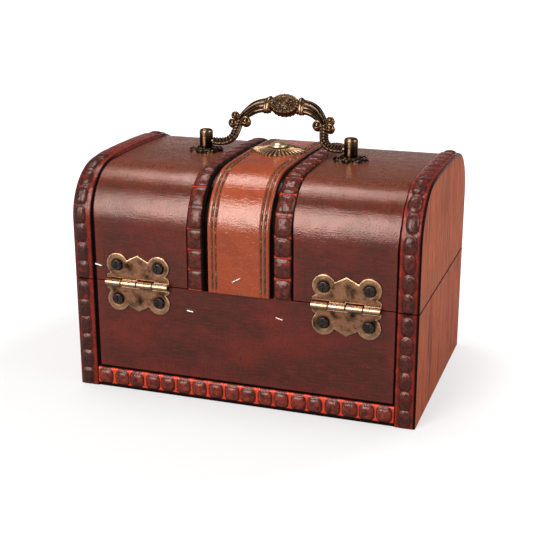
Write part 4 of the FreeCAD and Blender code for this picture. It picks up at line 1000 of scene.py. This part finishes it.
def add_leaf(name, centre_x, hand, brass, rubbed, body, seed):
    """Leaf on the lid (hand 1) or on the base (hand -1), with its own knuckles."""
    draw = random.Random(seed)
    spans = knuckle_spans()
    own, other = (spans[0::2], spans[1::2]) if hand > 0 else (spans[1::2], spans[0::2])
    notches = [(start - KNUCKLE_GAP, end + KNUCKLE_GAP, NOTCH_DEPTH) for start, end in other]
    scars = [(draw.uniform(-8, 8) * MM, draw.uniform(4, 10) * MM, draw.uniform(0, math.pi))
             for _ in range(SCARS)]

    def place(flat, heights):
        return points_at(centre_x + flat[:, 0], HALF_DEPTH + heights, HINGE_AXIS.z + hand * flat[:, 1])

    def form(flat):
        to_screw = np.hypot(np.abs(flat[:, 0]) - SCREW_X, flat[:, 1] - SCREW_HEIGHT) / MM
        near_barrel = soft_step(flat[:, 1], 3.4 * MM, 1.6 * MM)
        # hollow: patina round the screws, partly painted shade of their sinks, and painted shade on the leaf
        # beside the knuckles
        hollow = np.maximum(0.85 * soft_step(to_screw, 3.6, 2.4), 0.7 * near_barrel)
        for x, height, turn in scars:
            along = (flat[:, 0] - x) * math.cos(turn) + (flat[:, 1] - height) * math.sin(turn)
            aside = (flat[:, 1] - height) * math.cos(turn) - (flat[:, 0] - x) * math.sin(turn)
            scar = np.exp(-(along / SCAR_LENGTH) ** 2 - (aside / SCAR_WIDTH) ** 2)
            hollow = np.maximum(hollow, 0.8 * scar)
        rub = 0.25 * soft_step(flat[:, 1], 9 * MM, 13 * MM)
        return -DISH_DEPTH * soft_step(to_screw, 3.3, 2.4), rub, hollow

    leaf, barrels = Shape(), Shape()
    add_plate(leaf, butterfly(notches), place, LEAF_THICKNESS, LEAF_EDGE, LEAF_GRID, form)
    make_piece(leaf, name + "_stamping", brass, body, [name], CARVED_ANGLE)
    for start, end in own:
        add_knuckle(barrels, centre_x, hand, start, end)
    make_piece(barrels, name + "_knuckles", rubbed, body)


class CHEST_OT_hang_hinges(bpy.types.Operator):
    """Makes the butterfly hinges' leaves and knuckles, and finishes their pins and screws"""
    bl_idname = "chest.hang_hinges"
    bl_label = "Hang the hinges"

    def execute(self, context):
        look = context.scene.chest_metal
        # rolled knuckles: bright brass, worn by the lid's turning
        rubbed = metal_material("rubbed brass", look.barrel, look.brass, look.barrel_rubbed, roughness=0.26,
                                patch=2.0, patina_from=0.4)
        # leaves: brown lacquer in clouds, dark round the screws as patina and painted shade of their sinks,
        # dark beside the knuckles as painted shade, edges rubbed back to bright
        brass = metal_material("antiqued stamped brass", look.brass, look.brass_dark, look.brass_rubbed,
                               roughness=0.34, patch=4.5, patina_from=0.46)
        for i, side in enumerate(("left", "right")):
            low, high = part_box(f"{side}_hinge_lid_leaf")
            for body, hand, seed in (("lid", 1, 61), ("base", -1, 63)):
                add_leaf(f"{side}_hinge_{body}_leaf", (low.x + high.x) / 2, hand, brass, rubbed, body,
                         seed + i)
        # pins: brass gone dull between the knuckles
        dark = metal_material("brass of the hinge pins", look.brass, look.brass_dark, look.brass_rubbed,
                              roughness=0.3)
        dress(["left_hinge_pin", "right_hinge_pin"], dark)
        # screws: nearly black, with a dull shine on their heads
        black = metal_material("blackened steel screws", look.screw, look.screw_dark, look.steel,
                               roughness=0.30, patch=1.0)
        dress(["hinge_lid_screws", "hinge_base_screws"], black)
        return {"FINISHED"}


# ---- Handle

BAIL_PIVOT = Vector(JOINTS["bail_swing"]["pos_m"])
BAIL_LEAN = math.radians(35.6)
POST_X = (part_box("right_handle_post")[0].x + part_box("right_handle_post")[1].x) / 2
POST_RADIUS = 3.2 * MM
# stations of the arms: out from the middle, over the pivot, half height and half thickness in millimetres,
# and slope in degrees
UPPER_ARM = ((6.6, 20.1, 4.2, 2.3, 0), (11.5, 19.5, 3.7, 2.2, -12), (14.8, 18.0, 3.3, 2.1, -32),
             (17.2, 15.9, 2.8, 2.0, -47), (19.2, 13.6, 2.3, 1.9, -58), (20.8, 10.6, 2.1, 1.8, -72))
LOWER_ARM = ((20.8, 11.2, 2.0, 1.8, -72), (21.5, 6.3, 2.2, 1.8, -86), (22.5, 2.9, 2.15, 1.8, -58),
             (24.9, 0.7, 2.05, 1.8, -28), (28.3, -0.1, 1.95, 1.8, -4), (31.6, 0, 1.9, 1.85, 0))
# out from the middle, over the pivot, and radius in millimetres
VOLUTES = ((23.8, 9.6, 2.2), (23.3, 13.4, 2.0), (17.6, 10.7, 2.4))
VOLUTE_HALF = 1.9
# share of a volute's radius, and height over its half thickness in millimetres
VOLUTE_FACE = ((0.02, 0.15), (0.22, 0.1), (0.36, -0.25), (0.46, -0.4), (0.58, -0.1), (0.74, 0.05),
               (0.9, -0.35), (1.0, -1.1))
# out from the middle in millimetres, and share of the collar's full size
COLLAR = ((7.0, 0.84), (7.3, 0.96), (7.7, 1.0), (8.2, 0.99), (8.7, 0.93), (9.0, 0.89), (9.4, 0.91),
          (9.7, 0.88), (9.9, 0.80))
COLLAR_HALF_HEIGHT, COLLAR_HALF_THICKNESS = 4.5, 2.8
COLLAR_OUT, COLLAR_UP = 8, 20.1    # its middle
COLLAR_FALL = 0.3                  # for each millimetre outwards
RIDGE_DEPTH = 0.5                  # of the arms' carving in millimetres
PIN_RADIUS, PIN_START, PIN_IN_POST = 1.2 * MM, 31.0 * MM, 3.4 * MM
MEDALLION_HALF_WIDTH, MEDALLION_HALF_HEIGHT = 7.0 * MM, 5.1 * MM
MEDALLION_UP = 20.2 * MM           # over the pivot
MEDALLION_SCALLOPS = 0.03          # depth of its edge's scallops, as a share of its size
MEDALLION_SEAT, MEDALLION_RELIEF = 2.0 * MM, 0.8 * MM
PLATE_RADIUS, PETAL_REACH, PLATE_RIM = 7.6 * MM, 0.85 * MM, 0.55 * MM
PETALS = 8
STUD_RADIUS = 1.5 * MM
POST_FOOT_CHAMFER, POST_CROWN = 0.15 * MM, 1.3 * MM


def in_bail(points):
    """Points given across, through and up the upright bail, put where it stands at rest."""
    x, through, up = np.moveaxis(np.asarray(points, float), -1, 0)
    cos, sin = math.cos(BAIL_LEAN), math.sin(BAIL_LEAN)
    return points_at(x, BAIL_PIVOT.y + (through * cos - up * sin), BAIL_PIVOT.z + (through * sin + up * cos))


def smooth_stations(stations, count):
    """Stations in between, on a smooth line through the given ones."""
    knots = np.array(stations, float)
    ends = np.concatenate([2 * knots[:1] - knots[1:2], knots, 2 * knots[-1:] - knots[-2:-1]])
    places = np.linspace(0, len(knots) - 1, count)
    i = np.minimum(places.astype(int), len(knots) - 2)
    t = (places - i)[:, None]
    a, b, c, d = (ends[i + k] for k in range(4))
    square, cube = 2 * a - 5 * b + 4 * c - d, 3 * b - a - 3 * c + d
    return 0.5 * (2 * b + (c - a) * t + square * t ** 2 + cube * t ** 3)


def add_arm(shape, stations, hand, count, carve, rub):
    """Arm of the bail with carved ridges: carve gives each point's height in the carving, from 0 to 1, and
    rub how bright the ridges are worn."""
    line = smooth_stations(stations, count)
    turns = full_turn(56)
    run = np.concatenate([[0], np.cumsum(np.hypot(*np.diff(line[:, :2], axis=0).T))])
    out, up, half_height, half_thickness, slope = line.T[:, :, None]
    slope = np.radians(slope)
    ridge = carve(turns, run[:, None], (run / run[-1])[:, None])
    high = (half_height - RIDGE_DEPTH * (1 - ridge)) * np.cos(turns)
    thick = (half_thickness - RIDGE_DEPTH * (1 - ridge)) * np.sin(turns)
    points = points_at(hand * (out - np.sin(slope) * high), thick, up + np.cos(slope) * high)
    shape.skin(in_bail(MM * points), rub=rub * soft_step(ridge, 0.8, 1.0),
               hollow=0.9 * soft_step(ridge, 0.65, 0.2))


def fluted(turns, run, share):
    """Long ridges that run with the arm, in a plain border at its two ends."""
    ridges = 0.5 + 0.5 * np.cos(10 * turns)
    border = soft_step(share, 0.06, 0.0) + soft_step(share, 0.97, 1.0)
    return np.maximum(ridges ** 1.2, np.clip(border, 0, 1))


def roped(turns, run, share):
    """Slanting ridges like the lay of a rope, beside a smooth rib along the outside of the bend."""
    lay = 0.5 + 0.5 * np.cos(2 * turns + 4.0 * run)
    off_rib = np.abs(np.angle(np.exp(1j * (turns - np.pi))))
    rib = soft_step(off_rib, 1.0, 0.55)
    seam = soft_step(np.abs(off_rib - 1.1), 0.0, 0.25)
    return np.maximum(lay ** 0.8 * seam, rib)


def add_medal(shape, place, radius, height, rings, sides, rise, depth, patina):
    """Round or lobed plate: radius gives its rim by the turn, and height its face, from 0 to 1, by the share
    of the way to the rim and the turn. rise is the height of the face's relief, depth the plate's thickness
    under it, and patina how dark its low places are."""
    turns = full_turn(sides)
    shares = np.linspace(1, 0.01, rings)[:, None]
    carved = height(shares, turns)
    rim = radius(turns)
    bottom = place(rim * np.cos(turns), rim * np.sin(turns), -depth)
    face = place(shares * rim * np.cos(turns), shares * rim * np.sin(turns), rise * carved)
    rub = (1 - 0.5 * patina) * soft_step(carved, 0.1 + 0.45 * patina, 0.6 + 0.4 * patina)
    hollow = patina * soft_step(carved, 0.5, 0.1)
    flank = np.zeros((1, sides))
    shape.skin(np.concatenate([bottom[None], face]), rub=np.concatenate([flank, rub]),
               hollow=np.concatenate([flank, hollow]))


def highest(share, *forms):
    """Relief that follows whichever of these forms stands highest, and falls to nothing at the rim."""
    return np.clip(np.maximum.reduce(np.broadcast_arrays(*forms)) * (share < 0.99), 0, 1)


def on_medallion(across, up, out, side):
    """Points over one side of the medallion, at shares of its half width and half height."""
    return in_bail(points_at(across * MEDALLION_HALF_WIDTH, side * (MEDALLION_SEAT + out),
                             up * MEDALLION_HALF_HEIGHT + MEDALLION_UP))


def medallion_face(share, turns):
    """Beaded rim round a flower of six leaves, on a lattice of small curls."""
    beads = np.exp(-((share - 0.88) / 0.09) ** 2) * (0.25 + 0.75 * np.abs(np.cos(11 * turns)))
    leaves = np.clip(np.cos(3 * turns), 0, 1) ** 0.7 * np.exp(-((share - 0.30) / 0.12) ** 2)
    curls = np.clip(np.cos(9 * turns + 13 * share), 0, 1) * np.clip(np.cos(9 * turns - 13 * share), 0, 1)
    curls = 1.3 * curls * soft_step(share, 0.30, 0.42) * soft_step(share, 0.80, 0.72)
    heart = np.exp(-(share / 0.12) ** 2)
    return highest(share, beads, leaves, curls, heart)


def petal_face(share, turns):
    """Petals of a post's plate: each with a raised curl and a rib, round a collar."""
    curl = np.exp(-((share - 0.86) / 0.09) ** 2) * (0.4 + 0.6 * np.abs(np.cos(PETALS * turns)))
    rib = np.clip(np.cos(PETALS * turns), 0, 1) ** 3 * np.exp(-((share - 0.62) / 0.16) ** 2)
    collar = soft_step(share, 0.47, 0.42)
    return highest(share, curl, 0.9 * rib, collar)


def add_collar(bail, hand):
    """Turned collar between the medallion and an arm."""
    turns = full_turn(40)
    rings = [[(hand * out, COLLAR_HALF_THICKNESS * size * math.sin(turn),
               COLLAR_UP - COLLAR_FALL * (out - COLLAR_OUT) + COLLAR_HALF_HEIGHT * size * math.cos(turn))
              for turn in turns] for out, size in COLLAR]
    shine = by_ring(*(0.7 if size > 0.94 else 0.3 for _, size in COLLAR))
    bail.skin(in_bail(MM * np.array(rings)), rub=shine)


def add_volute(bail, hand, out, up, radius):
    """Turned button with a groove round its face, for a curl of the scroll."""
    face = [(radius * share * MM, (VOLUTE_HALF + rise) * MM) for share, rise in VOLUTE_FACE]
    profile = [(reach, -height) for reach, height in face] + face[::-1]
    shine = [0.0 if 0.3 <= share <= 0.5 else 0.9 for share, _ in VOLUTE_FACE]
    shine = by_ring(*shine, *shine[::-1])
    rings = turned(profile, 32, (hand * out * MM, 0, up * MM), Y_AXIS, X_AXIS)
    bail.skin(in_bail(rings), rub=shine, hollow=(1 - shine) * 0.6)


def cast_bail(bronze):
    """The bail in one piece: medallion, collars, fluted and roped arms, volutes and pins."""
    bail = Shape()
    for hand in (1, -1):
        add_arm(bail, UPPER_ARM, hand, count=60, carve=fluted, rub=0.55)
        add_arm(bail, LOWER_ARM, hand, count=90, carve=roped, rub=0.3)
        add_collar(bail, hand)
        pin = [(PIN_RADIUS, PIN_START), (PIN_RADIUS, POST_X - POST_RADIUS + PIN_IN_POST)]
        bail.skin(in_bail(turned(pin, 20, (0, 0, 0), (hand, 0, 0), Y_AXIS)), rub=0.3)
        for volute in VOLUTES:
            add_volute(bail, hand, *volute)
    for side in (1, -1):
        add_medal(bail, partial(on_medallion, side=side),
                  lambda turns: 1 + MEDALLION_SCALLOPS * np.cos(22 * turns), medallion_face, rings=48,
                  sides=176, rise=MEDALLION_RELIEF, depth=MEDALLION_SEAT, patina=0.0)
    make_piece(bail, "handle_bail_casting", bronze, "bail", ["handle_bail"], CARVED_ANGLE)


def cast_plate(side, x, bronze):
    """Flower-shaped plate under a post."""
    low, high = (corner.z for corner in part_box(f"{side}_handle_plate"))
    seat = low + PLATE_RIM
    plate = Shape()
    add_medal(plate, lambda out, back, up: points_at(x + out, back, seat + up),
              lambda turns: PLATE_RADIUS + PETAL_REACH * np.cos(PETALS * turns), petal_face, rings=34,
              sides=128, rise=high - seat, depth=PLATE_RIM, patina=0.95)
    make_piece(plate, f"{side}_handle_plate_flower", bronze, "lid", [f"{side}_handle_plate"],
               CARVED_ANGLE)


def cast_post(side, x, bronze):
    """Round post on its stud, with a domed top, and bright stripes down its sides as painted highlights,
    nearly black between them as painted shade.
    """
    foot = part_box("right_handle_plate")[1].z + 0.1 * MM
    low, high = (corner.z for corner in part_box("right_handle_post"))
    profile = [(STUD_RADIUS, low), (STUD_RADIUS, foot), (POST_RADIUS - POST_FOOT_CHAMFER, foot),
               (POST_RADIUS, foot + 0.4 * MM), (POST_RADIUS, foot + 3.9 * MM)]
    profile += [(POST_RADIUS - POST_CROWN * (1 - math.cos(turn)), high - POST_CROWN * (1 - math.sin(turn)))
                for turn in np.linspace(0, math.pi / 2, 7)] + [(0.02 * MM, high)]
    # painted highlights: four bright stripes down the post, with painted shade, nearly black, between them
    highlight_stripes = soft_step(np.cos(4 * full_turn(64)), 0.35, 1.0)
    shoulder = by_ring(*[0.0] * 5, 0.5, 1.0, 1.0, *[0.6] * 5)
    post = Shape()
    post.skin(turned(profile, 64, (x, 0, 0)), rub=np.maximum(highlight_stripes, shoulder),
              hollow=0.8 * (1 - highlight_stripes) * (1 - shoulder))
    make_piece(post, f"{side}_handle_post_turning", bronze, "lid", [f"{side}_handle_post"])


class CHEST_OT_cast_handle(bpy.types.Operator):
    """Casts the bail with its medallion and volutes, and the posts on their flower plates"""
    bl_idname = "chest.cast_handle"
    bl_label = "Cast the handle"

    def execute(self, context):
        look = context.scene.chest_metal
        # cast zinc with a bronze finish: nearly black in its hollows, copper-gold where hands rub its ridges
        bronze = metal_material("rubbed cast bronze", look.bronze, look.bronze_dark, look.bronze_rubbed,
                                roughness=0.22, patch=1.6, patina_from=0.56)
        cast_bail(bronze)
        for hand, side in ((1, "right"), (-1, "left")):
            cast_plate(side, hand * POST_X, bronze)
            cast_post(side, hand * POST_X, bronze)
        return {"FINISHED"}


# ---- Rosette

ROSETTE_LOW, ROSETTE_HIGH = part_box("strap_rosette")
ROSETTE_CENTRE = (ROSETTE_LOW + ROSETTE_HIGH) / 2
ROSETTE_HALF = (ROSETTE_HIGH.x - ROSETTE_LOW.x) / 2
ROSETTE_RAYS = 36
ROSETTE_CORNERS = 1.25             # 2 would make its outline round, and 1 a square on its corner
SCALLOPS = 0.015                   # depth of the edge's scallops, as a share of its reach
DOME_RADIUS, DOME_RIM = 3.75 * MM, 0.25 * MM
NAIL_RADIUS, NAIL_SINK = 0.8 * MM, 0.4 * MM


def sunburst(share, turns):
    """Rays from the nail to the scalloped edge, raised like the fluting of a shell."""
    slope = soft_step(share, 1.0, 0.28)
    rays = (0.5 + 0.5 * np.cos(ROSETTE_RAYS * turns)) * soft_step(share, 0.34, 0.46)
    ring = 0.16 * np.exp(-((share - 0.335) / 0.03) ** 2)
    return np.clip(0.20 + 0.48 * slope + 0.32 * rays * soft_step(share, 1.05, 0.8) + ring, 0, 1)


class CHEST_OT_stamp_rosette(bpy.types.Operator):
    """Stamps the sunburst rosette on the strap, with its domed nail"""
    bl_idname = "chest.stamp_rosette"
    bl_label = "Stamp the rosette"

    def execute(self, context):
        look = context.scene.chest_metal
        turns = full_turn(8 * ROSETTE_RAYS)
        spread = np.abs(np.cos(turns)) ** ROSETTE_CORNERS + np.abs(np.sin(turns)) ** ROSETTE_CORNERS
        ripple = np.cos(ROSETTE_RAYS * turns)
        reach = ROSETTE_HALF / spread ** (1 / ROSETTE_CORNERS) * (1 - SCALLOPS + SCALLOPS * ripple)
        shares = np.linspace(1, 0.1, 46)[:, None]
        height = ROSETTE_LOW.z + (ROSETTE_HIGH.z - ROSETTE_LOW.z) * sunburst(shares, turns)
        face = points_at(ROSETTE_CENTRE.x + shares * reach * np.cos(turns),
                         ROSETTE_CENTRE.y + shares * reach * np.sin(turns), height)
        bottom = face[:1].copy()
        bottom[..., 2] = ROSETTE_LOW.z
        rays = 0.5 + 0.5 * ripple
        rub = soft_step(rays, 0.35, 0.75) * soft_step(shares, 0.36, 0.42)
        hollow = soft_step(rays, 0.45, 0.1) * soft_step(shares, 0.36, 0.48)
        shape = Shape()
        shape.skin(np.concatenate([bottom, face]), rub=np.concatenate([rub[:1], rub]),
                   hollow=np.concatenate([hollow[:1], hollow]))
        # thin stamping: olive brass, dark between its rays
        olive = metal_material("stamped olive brass", look.rosette, look.brass_dark, look.brass_rubbed,
                               roughness=0.32, patch=2.0, patina_from=0.6)
        make_piece(shape, "strap_rosette_sunburst", olive, "lid", ["strap_rosette"],
                   PRESSED_ANGLE)
        tip, top = (corner.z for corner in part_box("strap_rosette_nail"))
        seat, brim = ROSETTE_HIGH.z - NAIL_SINK, ROSETTE_HIGH.z + DOME_RIM
        profile = [(NAIL_RADIUS, tip), (NAIL_RADIUS, seat), (0.9 * DOME_RADIUS, seat),
                   (DOME_RADIUS, ROSETTE_HIGH.z - 0.1 * MM)]
        profile += [(DOME_RADIUS * math.cos(turn), brim + (top - brim) * math.sin(turn))
                    for turn in np.linspace(0, math.pi / 2 - 0.01, 14)]
        nail = Shape()
        nail.skin(turned(profile, 48, (ROSETTE_CENTRE.x, ROSETTE_CENTRE.y, 0)),
                  rub=by_ring(0, 0, 0, 0.2, 0.6, *[1.0] * 13),
                  hollow=by_ring(0.9, 0.9, 0.9, 0.5, *[0.0] * 14))
        # dome: the brightest brass of the chest, hardly stained
        bright = metal_material("polished brass dome", look.brass_rubbed, look.brass, look.brass_bright,
                                roughness=0.26, patch=4.0, patina_from=0.75, pitting=0.02)
        make_piece(nail, "strap_rosette_dome", bright, "lid", ["strap_rosette_nail"],
                   PRESSED_ANGLE)
        return {"FINISHED"}


# ---- Latch and fasteners


class CHEST_OT_finish_latch(bpy.types.Operator):
    """Finishes the latch: lid plate, hasp, staple, keeper plate, pin and nails"""
    bl_idname = "chest.finish_latch"
    bl_label = "Finish the latch"

    def execute(self, context):
        look = context.scene.chest_metal
        # plates and hasp: yellower brass than the hinges, browned in clouds
        stamped = metal_material("antiqued latch brass", look.latch, look.brass_dark, look.brass_rubbed,
                                 roughness=0.30, patch=3.0)
        dress(["latch_keeper_plate", "latch_lid_plate", "latch_hasp"], stamped)
        # nails, pin and staple: small and shiny
        bright = metal_material("rubbed brass nails", look.brass_rubbed, look.brass, look.brass_bright,
                                roughness=0.25)
        dress(["latch_pin", "latch_lid_nails", "latch_keeper_nails", "latch_staple"], bright)
        return {"FINISHED"}


class CHEST_OT_finish_fasteners(bpy.types.Operator):
    """Finishes the staples, nuts and washers"""
    bl_idname = "chest.finish_fasteners"
    bl_label = "Finish the fasteners"

    def execute(self, context):
        look = context.scene.chest_metal
        # zinc on steel: pale grey, softly shining
        steel = metal_material("galvanised steel wire", look.steel, look.steel_dull, look.steel,
                               roughness=0.42)
        dress(["base_back_staples", "lid_back_staple", "strap_staple", "handle_washers", "handle_nuts"],
              steel)
        return {"FINISHED"}


# ---- Stage

CAMERA_AIM_Z = 49.72 * MM
CAMERA_AIM_RIGHT = -5.12 * MM
SENSOR_WIDTH = 36                  # in millimetres, as the lens
# bearing and elevation in degrees, distance, width and height
SOFTBOXES = {"key": (161, 26, 1.1, 0.55, 0.8), "top": (66, 71, 1.1, 0.38, 0.38),
             "fill": (268, 22, 1.3, 0.8, 0.8)}
LAMP_AIM_Z = 60 * MM
FLOOR_HALF = 6.0
GLOSS_LIFT = 0.15                  # share of the floor's lift that shiny things show
SHADOW_CENTRE = (30 * MM, 30 * MM, 0)      # the floor is lifted least round here
SHADOW_FROM, SHADOW_TO = 100 * MM, 240 * MM
SHADOW_LIFT = 0.52
OVERHEAD = (0.09, 0.09, 0.09, 1)   # what gloss shows overhead
WHITE = (1, 1, 1, 1)


def bearing(azimuth, elevation):
    """Unit vector towards a bearing: azimuth 0 is the front, 90 degrees the right end."""
    level = math.cos(elevation)
    return Vector((math.sin(azimuth) * level, -math.cos(azimuth) * level, math.sin(elevation)))


def set_camera(look):
    """Camera at its bearing and distance, turned a little about its line of sight."""
    aim = Vector((0, 0, CAMERA_AIM_Z))
    back = bearing(look.azimuth, look.elevation)
    right = Vector((math.cos(look.azimuth), math.sin(look.azimuth), 0))
    up = back.cross(right)
    rolled_right = math.cos(look.roll) * right + math.sin(look.roll) * up
    rolled_up = math.cos(look.roll) * up - math.sin(look.roll) * right
    camera = bpy.data.cameras.new("camera")
    camera.lens = look.lens
    camera.sensor_width = SENSOR_WIDTH
    camera.clip_start = 0.01
    camera_object = add_object("camera", camera)
    turn = Matrix((rolled_right, rolled_up, back)).transposed().to_4x4()
    place = aim + right * CAMERA_AIM_RIGHT + back * look.distance
    camera_object.matrix_world = Matrix.Translation(place) @ turn
    bpy.context.scene.camera = camera_object


def set_lamp(name, azimuth, elevation, distance, width, height, watts):
    """Softbox that faces the middle of the chest."""
    lamp = bpy.data.lights.new(name, "AREA")
    lamp.shape = "RECTANGLE"
    lamp.size, lamp.size_y = width, height
    lamp.energy = watts
    lamp_object = add_object(name, lamp)
    towards = bearing(math.radians(azimuth), math.radians(elevation))
    lamp_object.location = Vector((0, 0, LAMP_AIM_Z)) + towards * distance
    lamp_object.rotation_euler = towards.to_track_quat("Z", "Y").to_euler()


def mirrored_rays(tree):
    """The rays' kinds, and which of the rays come from a mirroring or clear surface."""
    rays = add_node(tree, "LightPath")
    kinds = rays.outputs["Is Glossy Ray"], rays.outputs["Is Transmission Ray"]
    return rays, add_node(tree, "Math", dict(enumerate(kinds)), operation="MAXIMUM")


def set_world():
    """White studio: white to the eye, and in gloss white near the level and darker overhead, as under a
    ceiling between softboxes. Its light is from above and from the front, so the lamps shape the chest."""
    world = bpy.data.worlds.new("studio")
    bpy.context.scene.world = world
    world.use_nodes = True
    tree = world.node_tree
    tree.nodes.clear()
    rays, mirrored = mirrored_rays(tree)
    direction = add_node(tree, "TexCoord").outputs["Generated"]
    parts = add_node(tree, "SeparateXYZ", {"Vector": direction})
    height = parts.outputs["Z"]
    overhead = add_node(tree, "MapRange", {"Value": height, "From Min": -0.02, "From Max": 0.16})
    ceiling = add_node(tree, "MapRange", {"Value": height, "From Min": 0.1, "From Max": 0.8,
                                          "To Min": 0.06, "To Max": 1.0})
    front = add_node(tree, "MapRange", {"Value": parts.outputs["Y"], "From Min": -0.1, "From Max": -0.9,
                                        "To Max": 0.6})
    light = add_node(tree, "Math", {0: ceiling, 1: front}, operation="MAXIMUM")
    shade = coats(tree, light, (mirrored, coats(tree, WHITE, (overhead, OVERHEAD))),
                  (rays.outputs["Is Camera Ray"], WHITE))
    background = add_node(tree, "Background", {"Color": shade, "Strength": 1.0})
    add_node(tree, "OutputWorld", {"Surface": background})


def set_floor(look):
    """Seamless white paper: matt, and lifted to white for the eye, so that only a soft shadow shows."""
    mesh = bpy.data.meshes.new("paper_floor")
    corners = [(x * FLOOR_HALF, y * FLOOR_HALF, 0) for x, y in ((-1, -1), (1, -1), (1, 1), (-1, 1))]
    mesh.from_pydata(corners, [], [(0, 1, 2, 3)])
    floor = add_object("paper_floor", mesh)
    material, tree = new_material("white paper sweep")
    rays, mirrored = mirrored_rays(tree)
    faint = where_all(tree, mirrored, GLOSS_LIFT)
    seen = add_node(tree, "Math", {0: rays.outputs["Is Camera Ray"], 1: faint}, operation="MAXIMUM")
    paper = coats(tree, look.floor, (rays.outputs["Is Glossy Ray"], look.floor_in_gloss))
    matt = add_node(tree, "BsdfDiffuse", {"Color": paper})
    point = add_node(tree, "TexCoord").outputs["Object"]
    away = add_node(tree, "VectorMath", {0: point, 1: SHADOW_CENTRE}, operation="DISTANCE")
    lift = add_node(tree, "MapRange", {"Value": away.outputs["Value"], "From Min": SHADOW_FROM,
                                       "From Max": SHADOW_TO, "To Min": SHADOW_LIFT})
    glow = add_node(tree, "Emission", {"Color": WHITE, "Strength": where_all(tree, lift, seen)})
    both = add_node(tree, "AddShader", {0: matt, 1: glow})
    add_node(tree, "OutputMaterial", {"Surface": both})
    mesh.materials.append(material)


class CHEST_OT_set_stage(bpy.types.Operator):
    """Sets the floor, the studio light and the camera"""
    bl_idname = "chest.set_stage"
    bl_label = "Set the stage"

    def execute(self, context):
        look = context.scene.chest_stage
        context.scene.view_settings.view_transform = "Standard"
        set_world()
        set_floor(look)
        for name, place_and_size in SOFTBOXES.items():
            set_lamp(f"{name}_softbox", *place_and_size, getattr(look, f"{name}_watts"))
        set_camera(look)
        return {"FINISHED"}


# ---- Add-on


SETTINGS = {"chest_case": ChestCaseSettings, "chest_trims": ChestTrimSettings,
            "chest_strap": ChestStrapSettings, "chest_metal": ChestMetalSettings,
            "chest_stage": ChestStageSettings}
OPERATORS = (CHEST_OT_cover_boards, CHEST_OT_lay_trims, CHEST_OT_lay_strap, CHEST_OT_hang_hinges,
             CHEST_OT_cast_handle, CHEST_OT_stamp_rosette, CHEST_OT_finish_latch, CHEST_OT_finish_fasteners,
             CHEST_OT_set_stage)


class CHEST_PT_sidebar(bpy.types.Panel):
    """Buttons that make the chest's finishes, and their settings"""
    bl_label = "Treasure chest"
    bl_idname = "CHEST_PT_sidebar"
    bl_space_type = "VIEW_3D"
    bl_region_type = "UI"
    bl_category = "Chest"

    def draw(self, context):
        for operator in OPERATORS:
            self.layout.operator(operator.bl_idname)
        for name, settings in SETTINGS.items():
            box = self.layout.box()
            group = getattr(context.scene, name)
            for setting in settings.__annotations__:
                box.prop(group, setting)


def register():
    for kind in (*SETTINGS.values(), *OPERATORS, CHEST_PT_sidebar):
        bpy.utils.register_class(kind)
    for name, settings in SETTINGS.items():
        setattr(bpy.types.Scene, name, bpy.props.PointerProperty(type=settings))


def unregister():
    for name in SETTINGS:
        delattr(bpy.types.Scene, name)
    for kind in (CHEST_PT_sidebar, *reversed(OPERATORS), *reversed(SETTINGS.values())):
        bpy.utils.unregister_class(kind)


def main():
    register()
    for operator in OPERATORS:
        group, name = operator.bl_idname.split(".")
        getattr(getattr(bpy.ops, group), name)()


if __name__ == "__main__":
    main()
